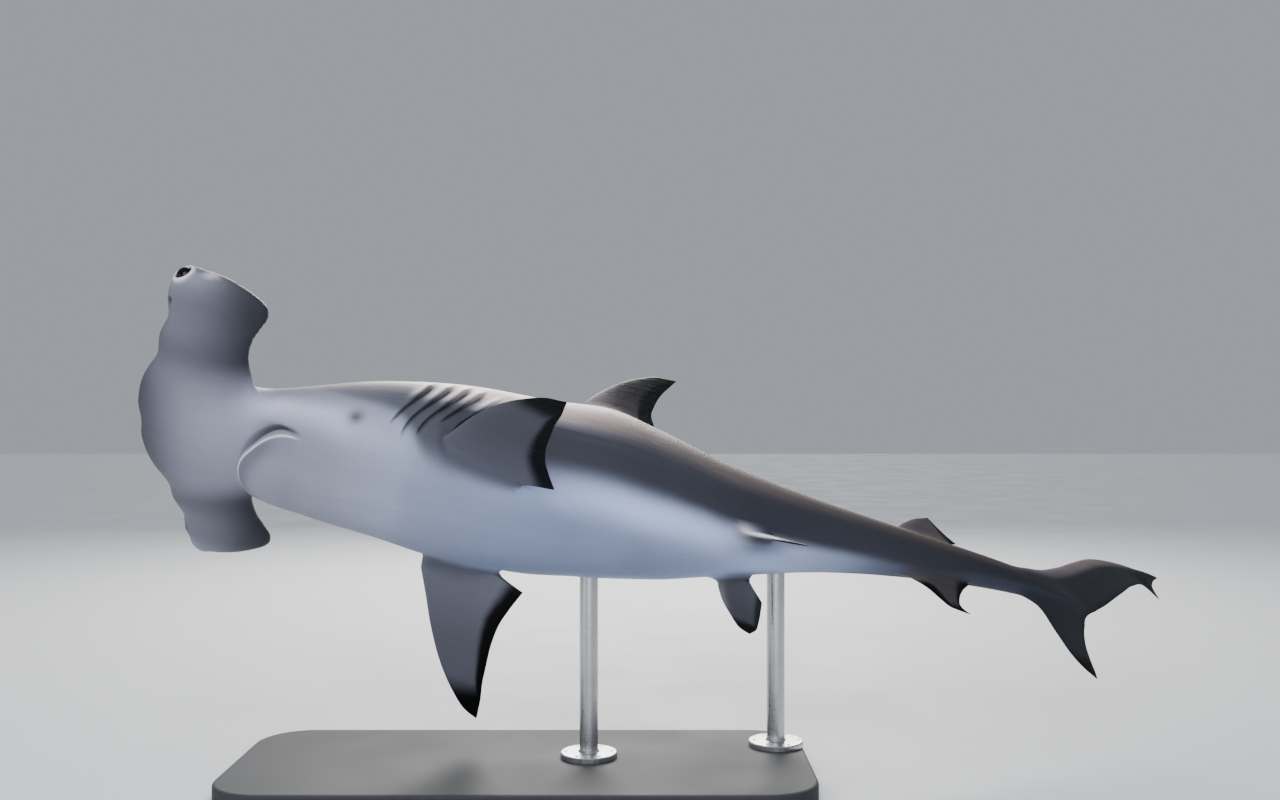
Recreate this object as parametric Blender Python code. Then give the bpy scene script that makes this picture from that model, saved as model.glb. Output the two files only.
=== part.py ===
"""Hammerhead shark: a still, life-size model, banked on a plain display stand.

The shark is first laid out straight: x runs back from the snout, y to its right side and z
to its back, all as shares of UNIT. Spine.place then bends that layout along the swimming
curve of the midline and banks it over the stand. The part's frame has its origin on the
floor under the middle of the stand's base, +X towards the tail and +Z up.
"""

import math
from dataclasses import dataclass

import bmesh
import bpy
import numpy as np

# ---- driving dimensions -------------------------------------------------------------------
UNIT = 2.5  # m; every share below is a share of this length
GAP = 0.0003  # m, left between pieces that touch
SNOUT = (-0.715, -0.090, 0.704)  # m, place of the layout's origin over the stand
YAW_DEG = 5.6  # the head points slightly off -X
PITCH_DEG = 10.8  # the head is carried higher than the tail
BANK_DEG = -48.1  # roll that turns the belly to the -Y side
BEND_STATIONS = (0.10, 0.30, 0.50, 0.68, 0.85)
SIDE_BEND = (0.0, 10.0, 8.0, 20.0, 30.0)  # degrees per metre, the tail swings to the right
LIFT_BEND = (-8.0, -5.0, -3.5, 0.0, 5.0)  # degrees per metre, the back hollows slightly
STIFF_HEAD = 0.08  # in front of this share the spine stays straight
HEAD_TURN = 0.028  # how far the head's right side lies back, per share of its width
HEAD_TURN_SPAN = (0.09, 0.16)  # stations over which the turn runs out

# ---- body sections ------------------------------------------------------------------------
SECTIONS = (  # station, half width, height of the back, depth of the belly
    (0.03, 0.024, 0.016, 0.018), (0.06, 0.030, 0.0190, 0.032), (0.09, 0.0345, 0.0245, 0.049),
    (0.12, 0.0425, 0.0335, 0.0562), (0.18, 0.0565, 0.054, 0.0598), (0.25, 0.0643, 0.068, 0.070),
    (0.30, 0.0628, 0.0735, 0.0718), (0.35, 0.0598, 0.0845, 0.0658), (0.40, 0.0490, 0.0715, 0.064),
    (0.45, 0.038, 0.0515, 0.055), (0.55, 0.0225, 0.030, 0.0330), (0.65, 0.013, 0.0205, 0.020),
    (0.73, 0.0085, 0.016, 0.0115), (0.80, 0.004, 0.012, 0.008))
WIDEST_STATIONS = (0.09, 0.18, 0.25, 0.35, 0.45, 0.55, 0.65, 0.73)
WIDEST_LEVEL = (0.0, -0.003, -0.008, -0.014, -0.010, -0.006, -0.003, 0.001)
BACK_STATIONS = (0.09, 0.18, 0.26, 0.34, 0.60, 0.75)
BACK_ROUNDNESS = (2.0, 1.8, 1.6, 1.5, 1.55, 1.8)  # section exponent: 2 is round, less is ridged
BELLY_ROUNDNESS = 2.3
RING_POINTS = 36

# ---- where the body is parted -------------------------------------------------------------
NECK_CUT = 0.150
GILL_CUT = 0.300
TORSO_CUT = 0.430
TRUNK_CUT = 0.590
TAIL_CUT = 0.735
CUTTER_SWELL = GAP * 1.6  # m, how much fatter the body is where it cuts what is set on it
CUTTER_INSET, CUTTER_REACH, CUTTER_RINGS = 0.001, 0.015, 45

# ---- gills --------------------------------------------------------------------------------
GILL_SLITS = (0.2023, 0.2148, 0.2264, 0.2373, 0.2513)
GILL_SLANT = (0.00064, 0.00098)  # share per degree, first and last slit: upper ends lie farther back
GILL_SLANT_CENTRE_DEG = 2.0
GILL_SLANT_REACH_DEG, GILL_SLANT_WINDOW_DEG = 34.0, 50.0
GILL_LEAN_STATIONS = (0.150, 0.190, 0.2525, 0.300)  # the lean grows, holds and runs out
GILL_TOP_DEG, GILL_BOTTOM_DEG = 26.0, -26.0  # the arc of the flank that a slit spans
GILL_FADE_DEG = 8.0
# (share behind the slit, height in m): flap swell, flap edge, floor of the slit, next flap
GILL_FOLD = ((-0.0045, 0.0025), (-0.0008, 0.0045), (0.0006, -0.0070), (0.0030, -0.0035))

# ---- hammer -------------------------------------------------------------------------------
HAMMER_HALF_SPAN = 0.1400
HAMMER_LEVEL = -0.003
HAMMER_RISE = 0.003  # the tips sit this much higher than the middle
HAMMER_THINNING, HAMMER_ROUNDNESS = 0.42, 0.85  # of the blade's section
NOSE_SETBACK = 0.0093
NOSE_SWEEP = 1.74  # the front edge is NOSE_SETBACK + NOSE_SWEEP * y * y, less the notches
NOTCHES = (  # y, width, depth; the first is a bulge
    (0.0, 0.022, -0.0027), (0.0, 0.006, 0.0020), (0.061, 0.0135, 0.0082), (0.0945, 0.0115, 0.0076))
EYE_BEVEL_START = 0.1268
EYE_BEVEL_DEPTH = 0.0054
REAR_SPAN = (0.0, 0.045, 0.068, 0.085, 0.098, 0.110, 0.1155, 0.1200, 0.1262, 0.1345, 0.1387, 0.1400)
REAR_EDGE = (0.094, 0.0905, 0.0875, 0.0905, 0.0965, 0.1015, 0.1012, 0.0985, 0.0905, 0.0740, 0.0620, 0.0560)
HAMMER_THICK_SPAN = (0.0, 0.04, 0.07, 0.10, 0.120, 0.1305, 0.1368, 0.1400)
HAMMER_THICKNESS = (0.045, 0.038, 0.028, 0.0225, 0.021, 0.0185, 0.0125, 0.0060)
HAMMER_INNER_SPAN = 0.1345  # sections are evenly spaced up to here
HAMMER_TIPS = (0.1365, 0.1385, 0.1400)

# ---- neck and jaw -------------------------------------------------------------------------
THROAT_STATIONS = (0.035, 0.07, 0.09, 0.11, 0.13, 0.150)
THROAT_DEPTH = (0.016, 0.026, 0.031, 0.041, 0.0553, 0.0573)
NECK_STATIONS = (0.035, 0.05, 0.07, 0.09, 0.10, 0.11, 0.12, 0.13, 0.14)
JAW_STATIONS = (0.0858, 0.0866, 0.088, 0.091, 0.095, 0.101, 0.11, 0.12, 0.13, 0.14)
JAW_FULL, JAW_ROUND, JAW_HINGE = 0.101, 0.0155, -0.028  # the jaw's front is rounded about its hinge

# ---- mouth --------------------------------------------------------------------------------
MOUTH_CORNER = (0.130, 0.038)  # where the curved line of the mouth ends
MOUTH_REACH = 0.042  # from the corners forward to its middle
MOUTH_ROOF = -0.021  # top of the lower jaw's solid
MOUTH_SLIT = 0.0012  # m
LIP_RADIUS = 0.0045  # m
LIP_FRONT_LEVEL, LIP_CORNER_LEVEL = -0.0325, -0.0345

# ---- eyes and nostrils --------------------------------------------------------------------
EYE_RADIUS = 0.017  # m
EYE_CENTRE = (0.0465, 0.1336, 0.0001)
EYE_FACING_DEG = 60.0  # from straight ahead towards the side
LID_RING, LID_THICKNESS = 0.0163, 0.0034  # m
LID_ADVANCE = 0.0075  # m, from the eye's centre out to the plane of the lids
NOSTRIL_CENTRE = (0.0355, 0.1142, -0.0075)
NOSTRIL_SIZE = (0.0045, 0.0135, 0.0075)  # m, half sizes of the slit's cutter
NOSTRIL_TURN_DEG = 15.0

# ---- stand --------------------------------------------------------------------------------
BASE_LENGTH, BASE_WIDTH, BASE_HEIGHT = 1.10, 0.46, 0.030
BASE_CORNER, BASE_BEVEL = 0.10, 0.005
ROD_RADIUS = 0.018
ROD_STATIONS = {"stand_rod_front": 0.345, "stand_rod_rear": 0.500}
FLANGE_RADIUS, FLANGE_HEIGHT = 0.055, 0.010


class Profile:
    """A smooth curve through (station, value) pairs that never overshoots them."""

    def __init__(self, stations, values):
        self.x = np.asarray(stations, float)
        self.y = np.asarray(values, float)
        step = np.diff(self.x)
        slope = np.diff(self.y) / step
        inner = np.zeros(len(slope) - 1)
        same = slope[:-1] * slope[1:] > 0
        before = 2 * step[1:] + step[:-1]
        after = step[1:] + 2 * step[:-1]
        inner[same] = ((before + after) / (before / np.where(same, slope[:-1], 1)
                                           + after / np.where(same, slope[1:], 1)))[same]
        self.m = np.concatenate([[slope[0]], inner, [slope[-1]]])

    def __call__(self, at):
        at = np.clip(at, self.x[0], self.x[-1])
        i = np.clip(np.searchsorted(self.x, at, side="right") - 1, 0, len(self.x) - 2)
        h = self.x[i + 1] - self.x[i]
        t = (at - self.x[i]) / h
        return ((1 + 2 * t) * (1 - t) ** 2 * self.y[i] + t * (1 - t) ** 2 * h * self.m[i]
                + t * t * (3 - 2 * t) * self.y[i + 1] + t * t * (t - 1) * h * self.m[i + 1])


def smoothstep(low, high, value):
    """0 below low, 1 above high, with an eased rise between."""
    t = np.clip((value - low) / (high - low), 0.0, 1.0)
    return t * t * (3 - 2 * t)


def rotation(axis, degrees):
    """The matrix that turns about one axis."""
    c, s = math.cos(math.radians(degrees)), math.sin(math.radians(degrees))
    rows = {"X": ((1, 0, 0), (0, c, -s), (0, s, c)),
            "Y": ((c, 0, s), (0, 1, 0), (-s, 0, c)),
            "Z": ((c, -s, 0), (s, c, 0), (0, 0, 1))}
    return np.array(rows[axis])


class Spine:
    """The bent midline, which carries the straight layout into the part's frame."""

    STEPS = 240

    def __init__(self):
        self.stations = np.linspace(0, 1, self.STEPS + 1)
        step = UNIT / self.STEPS
        side = np.where(self.stations < STIFF_HEAD, 0, np.interp(self.stations, BEND_STATIONS, SIDE_BEND))
        lift = np.where(self.stations < STIFF_HEAD, 0, np.interp(self.stations, BEND_STATIONS, LIFT_BEND))
        turn = rotation("Z", YAW_DEG) @ rotation("Y", PITCH_DEG) @ rotation("X", BANK_DEG)
        point = np.array(SNOUT)
        points, turns = [point], [turn]
        for i in range(self.STEPS):
            point = point + turn[:, 0] * step
            turn = turn @ rotation("Z", side[i] * step) @ rotation("Y", lift[i] * step)
            points.append(point)
            turns.append(turn)
        self.points = np.array(points)
        self.turns = np.array(turns).reshape(-1, 9)

    def place(self, layout):
        """Carry layout points (shares, N x 3) into the part's frame in metres."""
        layout = np.atleast_2d(np.asarray(layout, float))
        turned = HEAD_TURN * (1 - smoothstep(*HEAD_TURN_SPAN, layout[:, 0]))
        at = layout[:, 0] + turned * layout[:, 1]
        point = np.stack([np.interp(at, self.stations, self.points[:, k]) for k in range(3)], 1)
        turn = np.stack([np.interp(at, self.stations, self.turns[:, k]) for k in range(9)], 1).reshape(-1, 3, 3)
        ahead = np.minimum(at, 0.0)[:, None] * UNIT * turn[:, :, 0]
        return point + ahead + UNIT * (turn[:, :, 1] * layout[:, 1:2] + turn[:, :, 2] * layout[:, 2:3])


spine = Spine()
section_stations, *section_sizes = zip(*SECTIONS)
half_width, back_height, belly_depth = (Profile(section_stations, sizes) for sizes in section_sizes)
throat_depth = Profile(THROAT_STATIONS, THROAT_DEPTH)
widest_level = Profile(WIDEST_STATIONS, WIDEST_LEVEL)
back_roundness = Profile(BACK_STATIONS, BACK_ROUNDNESS)
hammer_rear = Profile(REAR_SPAN, REAR_EDGE)
hammer_thickness = Profile(HAMMER_THICK_SPAN, HAMMER_THICKNESS)


# ---- meshes -------------------------------------------------------------------------------
def make_object(name, points, faces, material=None):
    """A mesh object at the world's origin from points in metres, triangulated and facing out."""
    mesh = bpy.data.meshes.new(name)
    mesh.from_pydata([tuple(p) for p in points], [], faces)
    work = bmesh.new()
    work.from_mesh(mesh)
    bmesh.ops.triangulate(work, faces=work.faces[:])
    bmesh.ops.recalc_face_normals(work, faces=work.faces[:])
    work.to_mesh(mesh)
    work.free()
    if material:
        mesh.materials.append(material)
    item = bpy.data.objects.new(name, mesh)
    bpy.context.scene.collection.objects.link(item)
    return item


def loft(name, rings, material=None):
    """Join rings of equal length into a closed body, capped by a fan at each end."""
    rings = [np.asarray(r) for r in rings]
    count = len(rings[0])
    points = np.concatenate(rings + [rings[0].mean(0)[None], rings[-1].mean(0)[None]])
    faces = []
    for r in range(len(rings) - 1):
        a, b = r * count, (r + 1) * count
        for k in range(count):
            n = (k + 1) % count
            faces.append((a + k, a + n, b + n))
            faces.append((a + k, b + n, b + k))
    last = (len(rings) - 1) * count
    for k in range(count):
        n = (k + 1) % count
        faces.append((count * len(rings), n, k))
        faces.append((count * len(rings) + 1, last + k, last + n))
    return make_object(name, points, faces, material)


def keep_largest(item):
    """Drop every loose shell of a mesh but the one with the largest surface."""
    work = bmesh.new()
    work.from_mesh(item.data)
    work.faces.ensure_lookup_table()
    seen, shells = set(), []
    for face in work.faces:
        if face.index in seen:
            continue
        shell, front = [], [face]
        seen.add(face.index)
        while front:
            current = front.pop()
            shell.append(current)
            for edge in current.edges:
                for other in edge.link_faces:
                    if other.index not in seen:
                        seen.add(other.index)
                        front.append(other)
        shells.append(shell)
    shells.sort(key=lambda shell: sum(f.calc_area() for f in shell))
    loose = [face for shell in shells[:-1] for face in shell]
    bmesh.ops.delete(work, geom=loose, context="FACES")
    bmesh.ops.delete(work, geom=[v for v in work.verts if not v.link_faces], context="VERTS")
    work.to_mesh(item.data)
    work.free()


def combine(item, others, operation):
    """Apply a Boolean of item with each of the others, which are then removed."""
    for other in others:
        cut = item.modifiers.new(operation.lower(), "BOOLEAN")
        cut.operation = operation
        cut.object = other
        cut.solver = "EXACT"
        shape = bpy.data.meshes.new_from_object(item.evaluated_get(bpy.context.evaluated_depsgraph_get()))
        item.modifiers.clear()
        item.data = shape
        bpy.data.objects.remove(other)
    keep_largest(item)
    work = bmesh.new()
    work.from_mesh(item.data)
    bmesh.ops.triangulate(work, faces=work.faces[:])
    bmesh.ops.dissolve_degenerate(work, dist=1e-6, edges=work.edges[:])
    work.to_mesh(item.data)
    work.free()


def skin_material(name, colour, roughness, metallic=0.0):
    """A Principled material for one family of nodes."""
    material = bpy.data.materials.new(name)
    material.use_nodes = True
    shader = material.node_tree.nodes["Principled BSDF"]
    shader.inputs["Base Color"].default_value = (*colour, 1.0)
    shader.inputs["Roughness"].default_value = roughness
    shader.inputs["Metallic"].default_value = metallic
    return material


# ---- body ---------------------------------------------------------------------------------
def flank_angle(turn):
    """Degrees above the widest level, the same on both sides, for an angle round a section."""
    return np.degrees(np.arctan2(np.sin(turn), np.abs(np.cos(turn))))


def gill_shift(station, angle):
    """How far a ring leans back at this flank angle, so that rings run along the slits."""
    grown, full, fading, gone = GILL_LEAN_STATIONS
    strength = smoothstep(grown, full, station) * (1 - smoothstep(fading, gone, station))
    off = angle - GILL_SLANT_CENTRE_DEG
    lean = GILL_SLANT_REACH_DEG * np.tanh(off / GILL_SLANT_REACH_DEG) * np.exp(-(off / GILL_SLANT_WINDOW_DEG) ** 4)
    return strength * np.interp(station, (GILL_SLITS[0], GILL_SLITS[-1]), GILL_SLANT) * lean


def body_ring(station, swell=0.0, fold=0.0):
    """One ring of the body's surface in metres.

    swell moves the whole ring out, and fold moves only the arc that the gills span.
    """
    turn = np.arange(RING_POINTS) * 2 * math.pi / RING_POINTS
    angle = flank_angle(turn)
    at = station + gill_shift(station, angle)
    side, up = np.cos(turn), np.sin(turn)
    exponent = BELLY_ROUNDNESS + (back_roundness(at) - BELLY_ROUNDNESS) * smoothstep(0, 1, up)
    reach = (np.abs(side) ** exponent + np.abs(up) ** exponent) ** (-1 / exponent)
    level = widest_level(at)
    height = np.where(up > 0, back_height(at) - level, belly_depth(at) + level)
    y, z = half_width(at) * reach * side, height * reach * up
    arc = smoothstep(GILL_BOTTOM_DEG, GILL_BOTTOM_DEG + GILL_FADE_DEG, angle)
    arc = arc * (1 - smoothstep(GILL_TOP_DEG - GILL_FADE_DEG, GILL_TOP_DEG, angle))
    out = (swell + fold * arc) / UNIT / np.hypot(y, z)
    return spine.place(np.stack([at, y * (1 + out), level + z * (1 + out)], 1))


def gill_stations():
    """Stations and folds of the rings that form the five gill flaps of each side."""
    rows = [(slit + back, height) for slit in GILL_SLITS for back, height in GILL_FOLD]
    return [(0.158, 0), (0.168, 0), (0.178, 0), (0.188, 0)] + rows + [(0.262, 0), (0.272, 0), (0.285, 0)]


def span_stations(front, rear, count):
    """Evenly spaced inner stations with no fold."""
    return [(front + (rear - front) * i / count, 0) for i in range(1, count)]


def body_length(name, front, rear, inner, material=None, swell=0.0):
    """A length of the body, closed by a flat face at each end half a gap inside its cuts."""
    rows = [(front + GAP / 2 / UNIT, 0)] + inner + [(rear - GAP / 2 / UNIT, 0)]
    return loft(name, [body_ring(at, swell, fold) for at, fold in rows], material)


def body_cutter(front, rear):
    """The body between two stations, one gap fatter, that pieces set on it are cut by."""
    rows = [(NECK_CUT + CUTTER_INSET, 0)] + gill_stations()
    rows += span_stations(GILL_CUT - 0.004, TAIL_CUT + CUTTER_REACH, CUTTER_RINGS)
    rows = [row for row in rows if front <= row[0] <= rear]
    return loft("body_cutter", [body_ring(at, CUTTER_SWELL, fold) for at, fold in rows])


# ---- head ---------------------------------------------------------------------------------
def hammer_front(span):
    """The front edge of the hammer at a distance from the midline."""
    edge = NOSE_SETBACK + NOSE_SWEEP * span ** 2
    edge += sum(depth * np.exp(-0.5 * ((span - y) / width) ** 2) for y, width, depth in NOTCHES)
    bevel = max(0.0, span - EYE_BEVEL_START) / (HAMMER_HALF_SPAN - EYE_BEVEL_START)
    return edge + EYE_BEVEL_DEPTH * bevel ** 2


def hammer_ring(y, points=20):
    """One fore-and-aft section of the hammer: a full nose that thins towards the rear edge."""
    span = abs(y)
    front, rear = hammer_front(span), float(hammer_rear(span))
    middle, reach = (front + rear) / 2, (rear - front) / 2
    level = HAMMER_LEVEL + HAMMER_RISE * (span / HAMMER_HALF_SPAN) ** 2
    ring = []
    for k in range(points):
        turn = 2 * math.pi * k / points
        along = -math.cos(turn)
        thin = 1 - HAMMER_THINNING * ((along + 1) / 2) ** 1.5
        height = math.copysign(abs(math.sin(turn)) ** HAMMER_ROUNDNESS, math.sin(turn)) * thin
        ring.append((middle + reach * along, y, level + height * float(hammer_thickness(span)) / 2))
    return spine.place(ring)


def neck_ring(station, belly):
    """A section of the neck inside the head, with its own depth below."""
    turn = np.arange(RING_POINTS) * 2 * math.pi / RING_POINTS
    side, up = np.cos(turn), np.sin(turn)
    exponent = BELLY_ROUNDNESS + (back_roundness(station) - BELLY_ROUNDNESS) * smoothstep(0, 1, up)
    reach = (np.abs(side) ** exponent + np.abs(up) ** exponent) ** (-1 / exponent)
    level = float(widest_level(station))
    height = np.where(up > 0, back_height(station) - level, belly + level)
    y = half_width(station) * reach * side
    return spine.place(np.stack([np.full(RING_POINTS, station), y, level + height * reach * up], 1))


def mouth_curve(degrees, grow=0.0):
    """A point (x, y) on the curved line of the mouth; 0 is its middle and 90 the right corner."""
    corner, half = MOUTH_CORNER
    a = math.radians(degrees)
    return corner - (MOUTH_REACH + grow) * math.cos(a), (half + grow) * math.sin(a)


def jaw_block(grow):
    """The upright block, rounded in front, that parts the lower jaw from the head."""
    outline = [mouth_curve(d, grow) for d in range(-90, 91, 9)]
    outline = [(NECK_CUT + 0.01, outline[0][1])] + outline + [(NECK_CUT + 0.01, outline[-1][1])]
    rings = []
    for z in (MOUTH_ROOF + grow, -0.045, -0.085):
        rings.append(spine.place([(x, y, z) for x, y in outline]))
    return loft("jaw_block", rings)


def lip_tube(name):
    """The lip along the line of the mouth, a bead that the jaw block splits in two."""
    rings = []
    for degrees in range(-88, 89, 8):
        x, y = mouth_curve(degrees)
        share = abs(degrees) / 90
        z = LIP_FRONT_LEVEL + (LIP_CORNER_LEVEL - LIP_FRONT_LEVEL) * share ** 2
        radius = LIP_RADIUS / UNIT * (1 - 0.6 * share ** 3)
        a = math.radians(degrees)
        outward = np.array([-math.cos(a), math.sin(a), 0.0])
        ring = [np.array([x, y, z]) + radius * (outward * math.cos(t) + np.array([0, 0, 1.0]) * math.sin(t))
                for t in np.arange(8) * math.pi / 4]
        rings.append(spine.place(ring))
    return loft(name, rings)


def eye_axes(side):
    """Centre of an eye in metres, and its outward, rear and up directions."""
    centre = np.array(EYE_CENTRE) * (1, side, 1)
    a = math.radians(EYE_FACING_DEG)
    out = np.array([-math.cos(a), side * math.sin(a), 0.0])
    rear = np.array([math.sin(a), side * math.cos(a), 0.0])
    base = spine.place([centre])[0]
    step = 0.01 / UNIT
    directions = [spine.place([centre + step * d])[0] - base for d in (out, rear, np.array([0, 0, 1.0]))]
    return base, [d / np.linalg.norm(d) for d in directions]


def ball(name, centre, axes, radii, material=None, segments=20, rings=10):
    """An ellipsoid from its centre, axes and half sizes."""
    loops = []
    for r in range(1, rings):
        polar = math.pi * r / rings
        loops.append([centre + axes[0] * radii[0] * math.cos(polar)
                      + axes[1] * radii[1] * math.sin(polar) * math.cos(2 * math.pi * k / segments)
                      + axes[2] * radii[2] * math.sin(polar) * math.sin(2 * math.pi * k / segments)
                      for k in range(segments)])
    return loft(name, loops, material)


def lid_ring(side):
    """The lids: an oval ring round the eye."""
    centre, (out, rear, up) = eye_axes(side)
    middle = centre + out * LID_ADVANCE
    points, faces, around, across = [], [], 20, 8
    for i in range(around):
        a = 2 * math.pi * i / around
        radial = rear * math.cos(a) + up * math.sin(a)
        for k in range(across):
            b = 2 * math.pi * k / across
            away = LID_RING + LID_THICKNESS * math.cos(b)
            points.append(middle + radial * away + out * LID_THICKNESS * math.sin(b))
            n, m = (i + 1) % around, (k + 1) % across
            faces.append((i * across + k, n * across + k, n * across + m, i * across + m))
    return make_object("lids", points, faces)


def nostril_cutter(side):
    """The slit of a nostril, under the front edge beside the eye."""
    centre = np.array(NOSTRIL_CENTRE) * (1, side, 1)
    a = math.radians(NOSTRIL_TURN_DEG)
    base = spine.place([centre])[0]
    across = np.array([math.cos(a), side * -math.sin(a), 0.0])
    along = np.array([math.sin(a), side * math.cos(a), 0.0])
    step = 0.01 / UNIT
    axes = [spine.place([centre + step * d])[0] - base for d in (across, along, np.array([0, 0, 1.0]))]
    axes = [d / np.linalg.norm(d) for d in axes]
    return ball("nostril", base, axes, NOSTRIL_SIZE, segments=12, rings=6)


def build_head(skin, eye):
    """The hammer with the front of the neck, the lower jaw and both eyes."""
    inner = np.linspace(-HAMMER_INNER_SPAN, HAMMER_INNER_SPAN, 47)
    spans = [-y for y in reversed(HAMMER_TIPS)] + list(inner) + list(HAMMER_TIPS)
    head = loft("head", [hammer_ring(y) for y in spans], skin)
    end = NECK_CUT - GAP / 2 / UNIT
    neck = loft("neck", [neck_ring(s, float(throat_depth(s))) for s in NECK_STATIONS + (end,)])
    combine(head, [neck, lip_tube("upper_lip"), lid_ring(1), lid_ring(-1)], "UNION")
    for side in (1, -1):
        centre, axes = eye_axes(side)
        combine(head, [ball("socket", centre, axes, (EYE_RADIUS + GAP,) * 3)], "DIFFERENCE")
        combine(head, [nostril_cutter(side)], "DIFFERENCE")
    combine(head, [jaw_block((MOUTH_SLIT + GAP) / UNIT)], "DIFFERENCE")

    rings = []
    for station in JAW_STATIONS + (end,):
        blunt = math.sqrt(max(0.04, 1 - (max(0.0, JAW_FULL - station) / JAW_ROUND) ** 2))
        ring = neck_ring(station, float(belly_depth(station)))
        hinge = spine.place([(station, 0, JAW_HINGE)])[0]
        rings.append(hinge + (ring - hinge) * blunt)
    jaw = loft("lower_jaw", rings, skin)
    combine(jaw, [lip_tube("lower_lip")], "UNION")
    combine(jaw, [jaw_block(0.0)], "INTERSECT")
    for side, name in ((1, "eye_right"), (-1, "eye_left")):
        centre, axes = eye_axes(side)
        ball(name, centre, axes, (EYE_RADIUS,) * 3, eye)


# ---- fins ---------------------------------------------------------------------------------
class Edge:
    """A smooth edge through a few points, followed by its share of length."""

    def __init__(self, points):
        points = np.asarray(points, float)
        length = np.concatenate([[0], np.cumsum(np.linalg.norm(np.diff(points, axis=0), axis=1))])
        self.curves = [Profile(length / length[-1], points[:, k]) for k in range(points.shape[1])]

    def __call__(self, share):
        return np.array([float(curve(share)) for curve in self.curves])


@dataclass(frozen=True)
class Fin:
    """A fin in its own plane: (back, out) shares from its origin on the body."""

    name: str
    origin: tuple
    back: tuple
    out: tuple
    leading: tuple
    trailing: tuple
    root: tuple  # the sunk line from the front to the free rear tip
    thickness: float  # of the root, as a share of its chord
    tip_thickness: float = 0.05


FOIL_STEPS = (0.0, 0.02, 0.07, 0.15, 0.27, 0.42, 0.58, 0.74, 0.88, 1.0)
FIN_EDGE = 0.0007  # m, half the thickness of a rear edge


def foil(share):
    """Half thickness of a streamlined section whose full thickness is 1."""
    return 5 * (0.2969 * math.sqrt(share) - 0.126 * share - 0.3516 * share ** 2
                + 0.2843 * share ** 3 - 0.1015 * share ** 4)


def fin_rings(fin, steps=13):
    """Sections of a fin from its sunk root to its tip, in metres."""
    leading, trailing, root = Edge(fin.leading), Edge(fin.trailing), Edge(fin.root)
    origin, back, out = (np.array(v, float) for v in (fin.origin, fin.back, fin.out))
    back = back / np.linalg.norm(back)
    out = out - back * (out @ back)
    out = out / np.linalg.norm(out)
    normal = np.cross(back, out)
    rings = []
    for i in range(steps):
        v = math.sin(0.5 * math.pi * i / (steps - 1)) * 0.985
        front, rear = leading(v), trailing(v)
        chord = np.linalg.norm(rear - front)
        ratio = fin.thickness + (fin.tip_thickness - fin.thickness) * v
        upper, lower = [], []
        for u in FOIL_STEPS:
            flat = (1 - u) * front + u * rear
            flat = flat + (1 - v) ** 3 * (root(u) - (1 - u) * root(0) - u * root(1))
            half = ratio * chord * foil(u) + FIN_EDGE / UNIT * min(1.0, u * 8)
            middle = origin + back * flat[0] + out * flat[1]
            upper.append(middle + normal * half)
            lower.append(middle - normal * half)
        rings.append(spine.place(upper + lower[:0:-1]))
    return rings


def build_fin(fin, material, cutters):
    """A fin with its root cut to the body's surface."""
    item = loft(fin.name, fin_rings(fin), material)
    combine(item, cutters, "DIFFERENCE")
    return item


PECTORAL_LEADING = ((-0.007, -0.016), (0.0095, 0.0312), (0.0185, 0.058), (0.0313, 0.087), (0.0470, 0.1105),
                    (0.060, 0.1235), (0.0713, 0.1283))
PECTORAL_TRAILING = ((0.0852, 0.0065), (0.0780, 0.024), (0.0718, 0.044), (0.0696, 0.066), (0.0696, 0.092),
                     (0.0712, 0.113), (0.0713, 0.1283))
PECTORAL_ROOT = ((-0.007, -0.016), (0.016, -0.021), (0.038, -0.022), (0.0495, -0.014), (0.0645, -0.001),
                 (0.0852, 0.0065))
PELVIC_LEADING = ((-0.003, -0.010), (0.0078, 0.0125), (0.0170, 0.0232), (0.0272, 0.0326), (0.036, 0.0360))
PELVIC_TRAILING = ((0.0415, 0.0102), (0.0420, 0.0219), (0.0413, 0.0312), (0.036, 0.0360))
PELVIC_ROOT = ((-0.003, -0.010), (0.011, -0.012), (0.022, -0.011), (0.0275, -0.004), (0.0415, 0.0102))
PELVIC_SPREAD_DEG = 40  # how far the pelvic fins hang below level
FIRST_DORSAL_LEADING = ((0.328, 0.070), (0.3443, 0.1026), (0.3575, 0.1174), (0.3711, 0.130), (0.3895, 0.1416),
                        (0.4081, 0.1482), (0.424, 0.1475))
FIRST_DORSAL_TRAILING = ((0.4005, 0.0850), (0.3987, 0.0959), (0.4021, 0.1092), (0.408, 0.1235), (0.4171, 0.1376),
                         (0.424, 0.1475))
FIRST_DORSAL_ROOT = ((0.328, 0.070), (0.350, 0.069), (0.372, 0.066), (0.384, 0.066), (0.389, 0.076),
                     (0.4005, 0.0850))
SECOND_DORSAL_LEADING = ((0.604, 0.014), (0.6150, 0.0262), (0.6250, 0.0345), (0.6370, 0.0418), (0.6509, 0.0466))
SECOND_DORSAL_TRAILING = ((0.6735, 0.0236), (0.6655, 0.0300), (0.6580, 0.0378), (0.6509, 0.0466))
SECOND_DORSAL_ROOT = ((0.604, 0.014), (0.622, 0.012), (0.645, 0.012), (0.6540, 0.0185), (0.6735, 0.0236))
ANAL_LEADING = ((0.592, -0.012), (0.6100, -0.0262), (0.6220, -0.0312), (0.6300, -0.0355), (0.6383, -0.0430),
                (0.6483, -0.0506), (0.6665, -0.0532))
ANAL_TRAILING = ((0.6760, -0.0240), (0.6672, -0.0300), (0.6607, -0.0375), (0.6580, -0.0452), (0.6610, -0.0500),
                 (0.6665, -0.0532))
ANAL_ROOT = ((0.592, -0.012), (0.612, -0.010), (0.640, -0.008), (0.655, -0.014), (0.6760, -0.0240))


def paired(name, side, origin, back, out, **shape):
    """A fin of one side, mirrored from the right side's layout."""
    flip = np.array([1, side, 1])
    return Fin(name, tuple(np.array(origin) * flip), tuple(np.array(back) * flip), tuple(np.array(out) * flip), **shape)


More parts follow.
